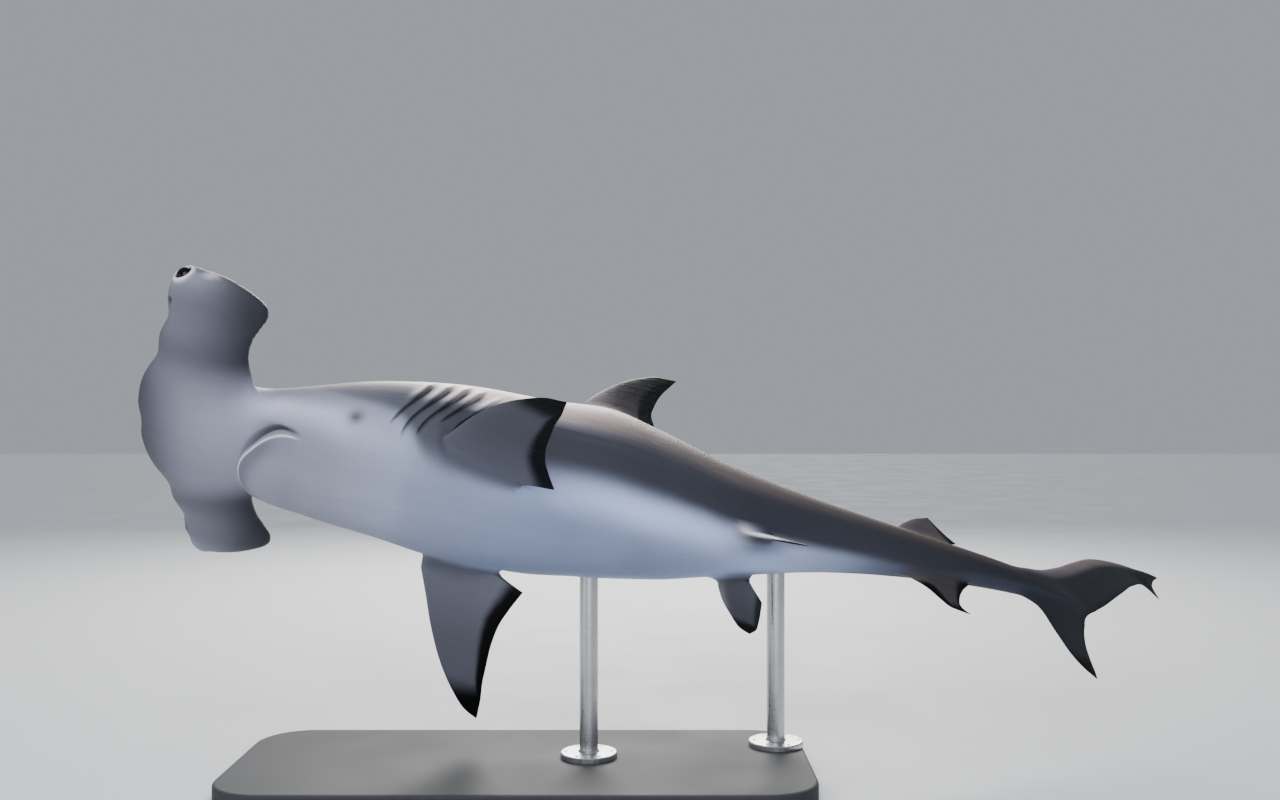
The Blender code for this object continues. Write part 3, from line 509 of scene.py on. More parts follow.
@dataclass
class Eye:
    """One eye: a ball in its socket behind an oval ring of lids, on a low turret of skin."""

    side: Side
    radius: float = 0.017  # m
    centre: tuple = (0.0465, 0.1336, 0.0001)
    facing: float = 60.0  # degrees from straight ahead
    lid_ring: float = 0.0163
    lid_thickness: float = 0.0034
    lid_edges: tuple = (0.3, 0.8)  # lid thicknesses inside and outside the ring where the lid ends
    lid_advance: float = 0.0075
    lid_span: tuple = (-0.004, 0.002)  # m ahead of the centre where the lids set in
    socket_depth: float = 0.012
    turret_radius: float = 0.0225
    turret_blend: float = 0.01
    turret_edge: float = 0.004
    turret_squash: float = 0.8

    def axes(self) -> tuple[Array, Array]:
        """Its centre in shares, and its outward, rear and up directions in the layout."""
        s, a = self.side.value, math.radians(self.facing)
        out, rear = (-math.cos(a), s * math.sin(a), 0), (math.sin(a), s * math.cos(a), 0)
        return np.array(self.centre) * (1, s, 1), np.array([out, rear, (0, 0, 1)])

    def local(self, p: Array) -> tuple[Array, Array]:
        """How far ahead of the ball's centre and how far off its axis points lie, in metres."""
        centre, (out, _, _) = self.axes()
        q = (p - centre) * UNIT
        ahead = q @ out
        return ahead, np.sqrt(np.maximum((q ** 2).sum(1) - ahead ** 2, 0))

    def turret(self, p: Array, surface: Array) -> Array:
        """The surface brought to one level around the eye, in front and on all sides."""
        ahead, across = self.local(p)
        cleared = -np.maximum(self.lid_advance - ahead, across - self.turret_radius)
        surface = smooth_max(surface, cleared, self.turret_blend)
        wide = np.hypot(across, ahead * self.turret_squash) - self.turret_radius
        raised = smooth_max(wide, ahead - self.lid_advance, self.turret_edge)
        return smooth_min(surface, raised, self.turret_blend)

    def shape(self, p: Array) -> tuple[Array, Array]:
        """Points moved into the lids and the socket, and how deep in the socket they lie, which sets its painted shade.
        """
        ahead, across = self.local(p)
        middle, thick = self.lid_ring, self.lid_thickness
        ring = np.clip(1 - ((across - middle) / thick) ** 2, 0, 1)
        inner = 1 - smoothstep(middle - thick, middle - self.lid_edges[0] * thick, across)
        level = self.lid_advance + thick * np.sqrt(ring) * (1 - inner) - self.socket_depth * inner
        weight = 1 - smoothstep(middle + self.lid_edges[1] * thick, self.turret_radius, across)
        weight = weight * smoothstep(*self.lid_span, ahead)
        out = self.axes()[1][0]
        return p + (weight * (level - ahead) / UNIT)[:, None] * out, inner * weight


@dataclass
class Nostril:
    """One slanted slit under the front edge, beside the eye."""

    side: Side
    centre: tuple = (0.0355, 0.1142, -0.0045)
    half_size: tuple = (0.004, 0.013)  # m, across and along
    turn: float = 15.0
    depth: float = 0.006
    hollow: tuple = (0.35, 1.05)  # half sizes over which the slit rises to the skin
    rim: float = 0.0009
    rim_place: float = 1.35
    rim_width: float = 0.3
    upper_end: float = 0.004  # m above its centre
    # how dark the painted shade in the slit is
    tone: float = 0.6

    def offset(self, p: Array) -> Array:
        """Where points lie from its centre, in metres."""
        return (p - np.array(self.centre) * (1, self.side.value, 1)) * UNIT

    def relief(self, p: Array) -> tuple[Array, Array]:
        """Height of the rim and depth of the slit, and how much painted shade a point gets in it."""
        s, a, q = self.side.value, math.radians(self.turn), self.offset(p)
        across = (q[:, 0] * math.cos(a) - s * q[:, 1] * math.sin(a)) / self.half_size[0]
        along = (q[:, 0] * math.sin(a) + s * q[:, 1] * math.cos(a)) / self.half_size[1]
        below, off = 1 - smoothstep(0.0, self.upper_end, q[:, 2]), np.hypot(across, along)
        hollow = (1 - smoothstep(*self.hollow, off)) * below
        rim = bell(off, self.rim_place, self.rim_width) * below
        return self.rim * rim - self.depth * hollow, self.tone * hollow


Triangles = tuple[Array, Array]


def surface_net(values: Array, axes: Sequence[Array]) -> Triangles:
    """The zero surface of a field on a grid, one point in each cell that it crosses.

    Args:
        values: The field, negative inside.
        axes: The grid's coordinates along each of its three directions.

    Returns:
        Points (N x 3) and triangles (M x 3), open where the grid ends.
    """
    cells = tuple(n - 1 for n in values.shape)
    total, count = np.zeros(cells + (3,)), np.zeros(cells)
    quads = []
    number = np.arange(math.prod(cells)).reshape(cells)
    for axis in range(3):
        low = np.take(values, range(values.shape[axis] - 1), axis)
        high = np.take(values, range(1, values.shape[axis]), axis)
        at = np.argwhere((low < 0) != (high < 0))
        a, b = low[tuple(at.T)], high[tuple(at.T)]
        point = np.stack([axes[k][at[:, k]] for k in range(3)], 1)
        point[:, axis] += a / (a - b) * (axes[axis][at[:, axis] + 1] - axes[axis][at[:, axis]])
        u, v = (axis + 1) % 3, (axis + 2) % 3
        corners = []
        for du, dv in ((-1, -1), (0, -1), (0, 0), (-1, 0)):
            cell = at.copy()
            cell[:, u] += du
            cell[:, v] += dv
            inside = np.all((cell >= 0) & (cell < cells), axis=1)
            np.add.at(total, tuple(cell[inside].T), point[inside])
            np.add.at(count, tuple(cell[inside].T), 1)
            cell = np.clip(cell, 0, np.array(cells) - 1)
            corners.append((number[tuple(cell.T)], inside))
        whole = np.all([inside for _, inside in corners], axis=0)
        quad = np.stack([index for index, _ in corners], 1)[whole]
        flip = (a > 0)[whole]
        quad[flip] = quad[flip][:, ::-1]
        quads.append(quad)
    quads = np.concatenate(quads)
    used, quads = np.unique(quads, return_inverse=True)
    quads = quads.reshape(-1, 4)
    points = total.reshape(-1, 3)[used] / count.reshape(-1)[used][:, None]
    return points, np.concatenate([quads[:, [0, 1, 2]], quads[:, [0, 2, 3]]])


def refine(points: Array, triangles: Array, chosen: Array) -> Triangles:
    """Split the chosen triangles in four and their neighbours so that no gap opens.

    Args:
        points: N x 3.
        triangles: M x 3.
        chosen: A mask of the triangles to split in four.

    Returns:
        The new points and triangles.
    """
    sides = np.sort(triangles[:, [[0, 1], [1, 2], [2, 0]]], axis=2)
    keys = sides[..., 0].astype(np.int64) * len(points) + sides[..., 1]
    split = np.unique(keys[chosen])
    where = np.searchsorted(split, keys)
    marked = (where < len(split)) & (split[np.minimum(where, len(split) - 1)] == keys)
    middle = np.where(marked, len(points) + where, -1)
    points = np.concatenate([points, (points[split // len(points)] + points[split % len(points)]) / 2])
    number = marked.sum(1)
    out = [triangles[number == 0]]
    for k in range(3):
        a, b, c = (triangles[:, (k + i) % 3] for i in range(3))
        ab, bc, ca = (middle[:, (k + i) % 3] for i in range(3))
        one = (number == 1) & marked[:, k]
        out += [np.stack([a, ab, c], 1)[one], np.stack([ab, b, c], 1)[one]]
        two = (number == 2) & marked[:, k] & marked[:, (k + 1) % 3]
        out += [np.stack([ab, b, bc], 1)[two], np.stack([a, ab, bc], 1)[two], np.stack([a, bc, c], 1)[two]]
        if k == 0:
            all_three = number == 3
            out += [np.stack(t, 1)[all_three] for t in ((a, ab, ca), (ab, b, bc), (ca, bc, c), (ab, bc, ca))]
    return points, np.concatenate(out)


def open_edges(triangles: Array) -> Array:
    """The pairs of points that only one triangle joins."""
    sides = np.sort(triangles[:, [[0, 1], [1, 2], [2, 0]]], axis=2).reshape(-1, 2)
    pairs, count = np.unique(sides, axis=0, return_counts=True)
    return pairs[count == 1]


@dataclass
class Head:
    """The hammer, the neck in it, the jaw, lids, nostrils and mouth, as one smooth surface."""

    body: Body
    hammer: Hammer = field(default_factory=Hammer)
    mouth: Mouth = field(default_factory=Mouth)
    eyes: tuple = (Eye(Side.RIGHT), Eye(Side.LEFT))
    nostrils: tuple = (Nostril(Side.RIGHT), Nostril(Side.LEFT))
    neck_start: float = 0.022
    neck_start_blend: float = 0.1  # m
    neck_blend: float = 0.042
    jaw_blend: float = 0.005
    end: float = 0.157
    spacing: float = 0.006 / UNIT
    room: tuple = (-0.006, 0.147, -0.062, 0.05)  # front, half span, bottom and top of the grid
    least_slope: float = 0.3  # of the field where points settle, as a share of UNIT
    longest_move: float = 0.0015
    settle_rounds: tuple = (4, 2)  # on the grid's triangles, and on those that are split
    # margin round the eyes and nostrils and strip beside the line of the mouth, in metres, for
    # each time that the triangles there are split
    splits: tuple = ((0.003, 0.013), (0.0, 0.009), (-0.006, 0.0035))
    eye_reach: tuple = (0.021, -0.003)  # m off the eye's axis, and ahead of its centre
    nostril_reach: float = 0.014

    def field(self, p: Array) -> Array:
        """Distance in metres to the head's surface at layout points, without its fine relief."""
        neck = distance(lambda q: self.body.fullness(q, self.body.throat), p)
        neck = smooth_max(neck, (self.neck_start - p[:, 0]) * UNIT, self.neck_start_blend)
        surface = smooth_min(self.hammer.distance(p), neck, self.neck_blend)
        for eye in self.eyes:
            surface = eye.turret(p, surface)
        return smooth_min(surface, self.mouth.jaw(self.body, p), self.jaw_blend)

    def slope(self, p: Array, value: Array, step: float = 0.0001) -> Array:
        """The field's slope in metres per share."""
        return np.stack([(self.field(p + np.eye(3)[k] * step) - value) / step for k in range(3)], 1)

    def settle(self, points: Array, rounds: int, held: Array | None = None) -> Array:
        """Move points onto the surface; held points keep their station."""
        for _ in range(rounds):
            value = self.field(points)
            slope = self.slope(points, value)
            if held is not None:
                slope[held, 0] = 0
            move = -(value / np.maximum((slope ** 2).sum(1), (self.least_slope * UNIT) ** 2))[:, None] * slope
            length = np.linalg.norm(move, axis=1, keepdims=True)
            points = points + move * np.minimum(1, self.longest_move / np.maximum(length, TINY))
        return points

    def near(self, centre: Array, margin: float, line: float) -> Array:
        """A mask of the places where lips, lids and nostrils need small triangles.

        Args:
            centre: The triangles' centres.
            margin: How much wider the eyes' and nostrils' places are taken, in metres.
            line: Half the width of the strip along the line of the mouth, in metres.
        """
        near = (np.abs(self.mouth.plan(centre)) < line) & (self.mouth.fade(centre) > 0)
        wide, behind = self.eye_reach
        for eye in self.eyes:
            ahead, across = eye.local(centre)
            near |= (across < wide + margin) & (ahead > behind - margin)
        for nostril in self.nostrils:
            near |= np.linalg.norm(nostril.offset(centre), axis=1) < self.nostril_reach + margin
        return near

    def build(self) -> tuple[Array, Array, Array]:
        """The head's points in shares, its triangles, open at the neck, and the painted shade of its mouth's line,
        nostrils and eye sockets.
        """
        front, half, low, high = self.room
        axes = [np.arange(front, self.end, self.spacing), np.arange(-half, half + self.spacing, self.spacing),
                np.arange(low, high, self.spacing)]
        axes[0] += self.end - axes[0][-1]
        grid = np.stack(np.meshgrid(*axes, indexing="ij"), -1)
        values = np.concatenate([self.field(part.reshape(-1, 3)) for part in grid])
        points, triangles = surface_net(values.reshape(grid.shape[:3]), axes)
        rim = np.isin(np.arange(len(points)), open_edges(triangles))
        points[rim, 0] = self.end
        points = self.settle(points, self.settle_rounds[0], rim)
        for margin, line in self.splits:
            points, triangles = refine(points, triangles, self.near(points[triangles].mean(1), margin, line))
            points = self.settle(points, self.settle_rounds[1], points[:, 0] > self.end - TINY)
        normal = self.slope(points, self.field(points))
        normal /= np.maximum(np.linalg.norm(normal, axis=1, keepdims=True), TINY)
        reliefs = [piece.relief(points) for piece in (self.mouth,) + self.nostrils]
        points = points + sum(height for height, _ in reliefs)[:, None] * normal / UNIT
        creases = sum(crease for _, crease in reliefs)
        for eye in self.eyes:
            points, depth = eye.shape(points)
            creases = creases + depth
        return points, triangles, np.clip(creases, 0, 1)


# ---- shells and how they become one skin ----
@dataclass
class Shell:
    """A stretch of skin before it is joined: its points in shares and what is known at each."""

    points: Array
    triangles: Array
    region: Region
    along: Array  # 0 at a fin's root, 1 at its tip
    chord: Array  # 0 at a fin's front edge, 1 at its rear edge
    face: Array  # 1 on a fin's upper or right face, -1 on the other
    # how much painted shade lies in creases, slits and sockets
    crease: Array
    held: Array  # 1 where the joins' rounding leaves the skin as it is

    @classmethod
    def plain(cls, points: Array, triangles: Array, crease: Array, held: Array) -> "Shell":
        """A shell of the body, which has no fin's measures."""
        zero = np.zeros(len(points))
        return cls(points, triangles, Region.BODY, zero, zero, zero, crease, held)


def loft_triangles(rings: int, count: int, start: int = 0) -> Array:
    """The triangles between rings of equal length that follow one another."""
    ring, k = np.meshgrid(np.arange(rings - 1), np.arange(count), indexing="ij")
    a, n = ring * count + k + start, ring * count + (k + 1) % count + start
    b, m = a + count, n + count
    return np.concatenate([np.stack(t, -1).reshape(-1, 3) for t in ((a, n, m), (a, m, b))])


def cap(ring: Array, centre: int, flip: bool) -> Array:
    """A fan that closes a ring of point numbers."""
    following = np.roll(ring, -1)
    fan = (ring, following) if flip else (following, ring)
    return np.stack([np.full(len(ring), centre), *fan], 1)


def zip_loops(first: Array, first_angle: Array, second: Array, second_angle: Array) -> Array:
    """Triangles between two loops of different length, both in the order of their angles."""
    out, i, j = [], 0, 0
    turn = 2 * math.pi
    while i < len(first) or j < len(second):
        reach_i = first_angle[(i + 1) % len(first)] + turn * ((i + 1) // len(first))
        reach_j = second_angle[(j + 1) % len(second)] + turn * ((j + 1) // len(second))
        a, b = first[i % len(first)], second[j % len(second)]
        if j >= len(second) or (i < len(first) and reach_i <= reach_j):
            out.append((a, first[(i + 1) % len(first)], b))
            i += 1
        else:
            out.append((a, second[(j + 1) % len(second)], b))
            j += 1
    return np.array(out)


@dataclass
class Trunk:
    """The body from the neck to the end of the tail stem, with the gills."""

    body: Body
    gills: Gills = field(default_factory=Gills)
    start: float = 0.1588
    end: float = 0.795
    count: int = 96
    before: float = 0.0035  # spacing of the rings, as shares
    behind: float = 0.0042

    def rows(self) -> list[tuple[float, float, int]]:
        """Station, fold height and slit number of every ring."""
        folds = self.gills.rows()
        front = np.arange(self.start, folds[0][0] - self.before / 2, self.before)
        rear = np.arange(folds[-1][0] + self.behind / 2, self.end, self.behind)
        return [(s, 0.0, 0) for s in front] + folds + [(s, 0.0, 0) for s in rear]

    def build(self) -> tuple[Array, Array, Array, Array]:
        """Points, triangles, creases (the painted shade in the gill slits) and held places of the tube, closed behind.
        """
        turn = np.arange(self.count) * 2 * math.pi / self.count
        angle = np.degrees(np.arctan2(np.sin(turn), np.abs(np.cos(turn))))
        rings, creases, held = [], [], []
        deepest = -min(height for _, height in self.gills.fold) * MM
        for station, height, number in self.rows():
            at = station + self.gills.shift(station, angle)
            y, z = self.body.section(at, turn)
            level = self.body.widest(at)
            arc = self.gills.arc(number, angle)
            deep = arc * (self.gills.shallow + (1 - self.gills.shallow) * self.gills.rise(number, angle))
            out = height * deep / UNIT / np.hypot(y, z - level)
            rings.append(np.stack([at, y * (1 + out), level + (z - level) * (1 + out)], 1))
            creases.append(np.clip(-height / deepest, 0, 1) * deep)
            held.append(np.clip(abs(height) / MM, 0, 1) * arc)
        points = np.concatenate(rings + [rings[-1].mean(0)[None]])
        triangles = loft_triangles(len(rings), self.count)
        last = np.arange(self.count) + (len(rings) - 1) * self.count
        triangles = np.concatenate([triangles, cap(last, len(points) - 1, False)])
        return points, triangles, np.concatenate(creases + [[0.0]]), np.concatenate(held + [[0.0]])


def join_head(head: tuple[Array, Array, Array], trunk: tuple[Array, Array, Array, Array], count: int,
              level: float) -> Shell:
    """Zip the head's open end to the first ring of the trunk.

    Args:
        head: Points, triangles and creases of the head.
        trunk: Points, triangles, creases and held places of the trunk.
        count: How many points a ring of the trunk has.
        level: The height that angles are taken around.
    """
    points = np.concatenate([head[0], trunk[0]])
    loops = [np.unique(open_edges(head[1])), np.arange(count) + len(head[0])]
    angles = [np.arctan2(points[loop, 2] - level, points[loop, 1]) for loop in loops]
    orders = [np.argsort(angle) for angle in angles]
    seam = zip_loops(loops[0][orders[0]], angles[0][orders[0]], loops[1][orders[1]], angles[1][orders[1]])
    triangles = np.concatenate([head[1], trunk[1] + len(head[0]), seam])
    held = np.concatenate([np.zeros(len(head[0])), trunk[3]])
    return Shell.plain(points, triangles, np.concatenate([head[2], trunk[2]]), held)


# ---- fins ----
FIN_EDGE = 0.0007  # m, half the thickness of a rear edge
FIN_EDGE_START = 0.125  # share of the chord over which it sets in


def foil(share: Array) -> Array:
    """Half thickness of a streamlined section whose full thickness is 1."""
    return 5 * (0.2969 * np.sqrt(share) - 0.126 * share - 0.3516 * share ** 2
                + 0.2843 * share ** 3 - 0.1015 * share ** 4)


def edge_half(share: Array) -> Array:
    """Half the thickness, in shares, that a fin has in addition to its section."""
    return FIN_EDGE / UNIT * np.minimum(1.0, share / FIN_EDGE_START)


def chord_steps(count: int) -> Array:
    """Shares of a chord, closer together at both edges."""
    return (1 - np.cos(np.arange(count) * math.pi / (count - 1))) / 2


def fin_shell(rings: list[Array], steps: Array, along: Sequence[float], region: Region) -> Shell:
    """A closed shell from rings that run back over one face and forward over the other."""
    count = len(rings[0])
    points = np.concatenate(rings + [rings[0].mean(0)[None], rings[-1].mean(0)[None]])
    first, last = np.arange(count), np.arange(count) + (len(rings) - 1) * count
    triangles = np.concatenate([loft_triangles(len(rings), count), cap(first, len(points) - 2, True),
                                cap(last, len(points) - 1, False)])
    chord = np.concatenate([steps, steps[:0:-1]])
    face = np.concatenate([np.ones(len(steps)), -np.ones(len(steps) - 1)])
    rows = len(rings)
    return Shell(points, triangles, region, np.concatenate([np.repeat(along, count), [along[0], along[-1]]]),
                 np.concatenate([np.tile(chord, rows), [0.5, 0.5]]), np.concatenate([np.tile(face, rows), [0, 0]]),
                 np.zeros(len(points)), np.zeros(len(points)))


@dataclass(frozen=True)
class Fin:
    """A fin in its own plane: (back, out) shares from its origin on the body."""

    region: Region
    leading: tuple
    trailing: tuple
    root: tuple  # the sunk line from the front to the free rear tip
    thickness: float  # of the root, as a share of its chord
    origin: tuple = (0, 0, 0)
    back: tuple = (1, 0, 0)
    out: tuple = (0, 0, 1)
    tip_thickness: float = 0.05
    steps: int = 34
    chord_count: int = 24
    outermost: float = 0.993  # how far along its edges the last section lies

    def mirrored(self, side: Side) -> "Fin":
        """The same fin on a side of the animal."""
        flip = np.array([1, side.value, 1])
        return replace(self, origin=tuple(self.origin * flip), back=tuple(self.back * flip), out=tuple(self.out * flip))

    def build(self) -> Shell:
        """The fin's shell, its root sunk in the body."""
        leading, trailing, root = Edge(self.leading), Edge(self.trailing), Edge(self.root)
        origin, back, out = (np.array(v, float) for v in (self.origin, self.back, self.out))
        back = back / np.linalg.norm(back)
        out = out - back * (out @ back)
        out = out / np.linalg.norm(out)
        normal = np.cross(back, out)
        share = chord_steps(self.chord_count)
        sunk = np.array([root(u) - (1 - u) * root(0) - u * root(1) for u in share])
        along = np.sin(0.5 * math.pi * np.arange(self.steps) / (self.steps - 1)) * self.outermost
        rings = []
        for v in along:
            front, rear = leading(v), trailing(v)
            chord = np.linalg.norm(rear - front)
            flat = np.outer(1 - share, front) + np.outer(share, rear) + (1 - v) ** 3 * sunk
            ratio = self.thickness + (self.tip_thickness - self.thickness) * v
            half = ratio * chord * foil(share) + edge_half(share)
            middle = origin + np.outer(flat[:, 0], back) + np.outer(flat[:, 1], out)
            upper, lower = middle + np.outer(half, normal), middle - np.outer(half, normal)
            rings.append(np.concatenate([upper, lower[:0:-1]]))
        return fin_shell(rings, share, along, self.region)


PECTORAL = Fin(
    Region.PECTORAL, thickness=0.1, origin=(0.226, 0.0597, -0.0406), back=(0.96, -0.094, -0.264),
    out=(0.0, 0.942, -0.337), steps=46, chord_count=28,
    leading=((-0.007, -0.016), (0.0095, 0.0312), (0.0185, 0.058), (0.0313, 0.087), (0.047, 0.1105),
             (0.06, 0.1235), (0.0713, 0.1283)),
    trailing=((0.0852, 0.0065), (0.078, 0.024), (0.0718, 0.044), (0.0696, 0.066), (0.0696, 0.092),
              (0.0712, 0.113), (0.0713, 0.1283)),
    root=((-0.007, -0.016), (0.016, -0.021), (0.038, -0.022), (0.0495, -0.014), (0.0645, -0.001), (0.0852, 0.0065)))
PELVIC = Fin(
    Region.PELVIC, thickness=0.1, origin=(0.455, 0.0294, -0.046), back=(1, 0, 0), out=(0.0, 0.695, -0.719),
    leading=((-0.003, -0.01), (0.0078, 0.0125), (0.017, 0.0232), (0.0272, 0.0326), (0.036, 0.036)),
    trailing=((0.0415, 0.0102), (0.042, 0.0219), (0.0413, 0.0312), (0.036, 0.036)),
    root=((-0.003, -0.01), (0.011, -0.012), (0.022, -0.011), (0.0275, -0.004), (0.0415, 0.0102)))
FIRST_DORSAL = Fin(
    Region.FIRST_DORSAL, thickness=0.13, steps=40, chord_count=28,
    leading=((0.328, 0.07), (0.3443, 0.1026), (0.3575, 0.1174), (0.3711, 0.13), (0.3895, 0.1416),
             (0.4081, 0.1482), (0.424, 0.1475)),
    trailing=((0.4005, 0.085), (0.3987, 0.0959), (0.4021, 0.1092), (0.408, 0.1235), (0.4171, 0.1376),
              (0.424, 0.1475)),
    root=((0.328, 0.07), (0.35, 0.069), (0.372, 0.066), (0.384, 0.066), (0.389, 0.076), (0.4005, 0.085)))
SECOND_DORSAL = Fin(
    Region.SECOND_DORSAL, thickness=0.1,
    leading=((0.604, 0.014), (0.615, 0.0262), (0.625, 0.0345), (0.637, 0.0418), (0.6509, 0.0466)),
    trailing=((0.6735, 0.0236), (0.6655, 0.03), (0.658, 0.0378), (0.6509, 0.0466)),
    root=((0.604, 0.014), (0.622, 0.012), (0.645, 0.012), (0.654, 0.0185), (0.6735, 0.0236)))
ANAL = Fin(
    Region.ANAL, thickness=0.09,
    leading=((0.592, -0.012), (0.61, -0.0262), (0.622, -0.0312), (0.63, -0.0355), (0.6383, -0.043),
             (0.6483, -0.0506), (0.6665, -0.0532)),
    trailing=((0.6755, -0.0195), (0.6668, -0.0275), (0.6607, -0.0365), (0.658, -0.0452), (0.661, -0.05),
              (0.6665, -0.0532)),
    root=((0.592, -0.012), (0.612, -0.01), (0.64, -0.008), (0.655, -0.012), (0.6755, -0.0195)))
LOWER_LOBE = Fin(
    Region.CAUDAL, thickness=0.085,
    leading=((0.712, -0.004), (0.724, -0.009), (0.734, -0.0132), (0.7476, -0.0214), (0.7567, -0.0424),
             (0.7675, -0.0648), (0.7765, -0.0745), (0.7888, -0.082)),
    trailing=((0.813, -0.004), (0.801, -0.02), (0.7927, -0.0371), (0.7893, -0.052), (0.7888, -0.065),
              (0.7893, -0.074), (0.7888, -0.082)),
    root=((0.712, -0.004), (0.745, -0.003), (0.78, -0.002), (0.813, -0.004)))


@dataclass
class UpperLobe:
    """The caudal fin's upper lobe: thick along the top edge, where the spine runs, thin behind."""

    body: Body
    steps: int = 70
    chord_count: int = 26
    stem_end: float = 0.735
    outermost: float = 0.994
    thinning: tuple = (0.8, 0.1, 0.95)  # of the spine: how much, and between which shares
    thickest: float = 0.28  # share of the chord
    thin: float = 0.8  # share of the chord behind which only the edge's thickness is left
    most: float = 0.3  # the greatest half thickness, as a share of the chord
    top: tuple = ((0.7, 0.000), (0.735, 0.0165), (0.7595, 0.023), (0.7867, 0.036), (0.8144, 0.0535),
                  (0.8438, 0.071), (0.8914, 0.0892), (0.9216, 0.099), (0.9565, 0.112), (0.975, 0.1172))
    rear: tuple = ((0.735, -0.012), (0.77, -0.02), (0.8036, -0.015), (0.82, -0.001), (0.84, 0.014),
                   (0.8819, 0.0488), (0.908, 0.07), (0.9338, 0.0832), (0.946, 0.0812), (0.9563, 0.0795),
                   (0.9505, 0.0905), (0.9545, 0.0985), (0.964, 0.1085), (0.975, 0.1172))

    def build(self) -> Shell:
        """The lobe's shell, its root inside the tail stem."""
        top, rear = Edge(self.top), Edge(self.rear)
        share = chord_steps(self.chord_count)
        along = np.arange(self.steps) / (self.steps - 1) * self.outermost
        amount, low, high = self.thinning
        before = np.sqrt(np.maximum(0, 1 - ((share - self.thickest) / self.thickest) ** 2))
        bulge = np.where(share < self.thickest, before, 1 - smoothstep(self.thickest, self.thin, share))
        rings = []
        for v in along:
            a, b = top(v), rear(v)
            chord = np.linalg.norm(b - a)
            root = float(self.body.width(max(a[0], self.stem_end))) * (1 - amount * smoothstep(low, high, v))
            half = min(root, chord * self.most) * bulge + edge_half(share)
            flat = np.outer(1 - share, a) + np.outer(share, b)
            upper, lower = (np.stack([flat[:, 0], sign * half, flat[:, 1]], 1) for sign in (1, -1))
            rings.append(np.concatenate([upper, lower[:0:-1]]))
        return fin_shell(rings, share, along, Region.CAUDAL)


# ---- shader groups ----
class Group:
    """A node group with named inputs and outputs, built once."""

    def __init__(self, name: str, inputs: Sequence[tuple[str, str, object]], outputs: Sequence[tuple[str, str]],
                 kind: str = "ShaderNodeTree") -> None:
        """Make the group's sockets.

        Args:
            name: The group's name.
            inputs: Name, socket type and default of each input.
            outputs: Name and socket type of each output.
            kind: The type of its tree.
        """
        self.tree = bpy.data.node_groups.new(name, kind)
        for label, socket_type, value in inputs:
            socket = self.tree.interface.new_socket(label, in_out="INPUT", socket_type=f"NodeSocket{socket_type}")
            if value is not None:
                socket.default_value = value
        for label, socket_type in outputs:
            self.tree.interface.new_socket(label, in_out="OUTPUT", socket_type=f"NodeSocket{socket_type}")
        self.enter = self.tree.nodes.new("NodeGroupInput").outputs
        self.leave = self.tree.nodes.new("NodeGroupOutput").inputs


class Wiring:
    """Short ways to add and join the nodes of one tree."""

    def __init__(self, tree: bpy.types.NodeTree) -> None:
        """Keep the tree."""
        self.tree = tree

    def put(self, target: Socket, value: object) -> None:
        """Link a socket to a target, or set the target's own value."""
        if isinstance(value, Socket):
            self.tree.links.new(value, target)
        elif value is not None:
            target.default_value = value

    def node(self, kind: str, **values: object) -> Node:
        """A new node with its inputs linked or set; underscores stand for spaces in their names."""
        return self.fill(self.tree.nodes.new(kind), **values)

    def fill(self, node: Node, **values: object) -> Node:
        """The node, once its inputs are linked or set; underscores stand for spaces in their names."""
        for label, given in values.items():
            self.put(node.inputs[label.replace("_", " ")], given)
        return node

    def math(self, operation: str, *values: object, clamp: bool = False) -> Socket:
        """A Math node's result."""
        node = self.node("ShaderNodeMath")
        node.operation, node.use_clamp = operation, clamp
        for target, value in zip(node.inputs, values):
            self.put(target, value)
        return node.outputs[0]

    def ramp(self, value: object, low: float, high: float, start: float = 0.0, end: float = 1.0) -> Socket:
        """A smooth change from start to end while the value runs from low to high."""
        node = self.node("ShaderNodeMapRange", Value=value, From_Min=low, From_Max=high, To_Min=start, To_Max=end)
        node.interpolation_type = "SMOOTHSTEP"
        return node.outputs["Result"]

    def noise(self, vector: object, scale: object, detail: float = 3.0, rough: float = 0.55) -> Socket:
        """A noise's value."""
        node = self.node("ShaderNodeTexNoise", Vector=vector, Scale=scale, Detail=detail, Roughness=rough)
        return node.outputs["Fac"]

    def fibres(self, vector: object, stretch: Sequence[float], *shape: float) -> Socket:
        """A noise's value, stretched along the axes with the smallest factors."""
        return self.noise(self.node("ShaderNodeMapping", Vector=vector, Scale=stretch).outputs["Vector"], *shape)

    def mix(self, share: object, first: object, second: object, blend: str = "MIX") -> Socket:
        """A mix of two colours."""
        node = self.node("ShaderNodeMix")
        node.data_type, node.blend_type = "RGBA", blend
        for index, given in ((0, share), (6, first), (7, second)):
            self.put(node.inputs[index], given)
        return node.outputs[2]

    def attribute(self, name: str) -> Node:
        """A node that reads one of the mesh's attributes."""
        node = self.node("ShaderNodeAttribute")
        node.attribute_name = name
        return node

    def object_place(self) -> Socket:
        """The place on the object."""
        return self.node("ShaderNodeTexCoord").outputs["Object"]

    def mottle(self, group: Group, vector: Socket, scales: Sequence[float]) -> bpy.types.NodeOutputs:
        """The outputs of the shared group of clouds, grain and specks, with its three scales."""
        node = self.node("ShaderNodeGroup")
        node.node_tree = group.tree
        large, small, speck = scales
        return self.fill(node, Vector=vector, Large_Scale=large, Small_Scale=small, Speck_Scale=speck).outputs

    def bump(self, height: object, depth: float, below: object = None) -> Socket:
        """A bump's normal, with the height's unit in metres."""
        return self.node("ShaderNodeBump", Distance=depth, Height=height, Normal=below).outputs["Normal"]


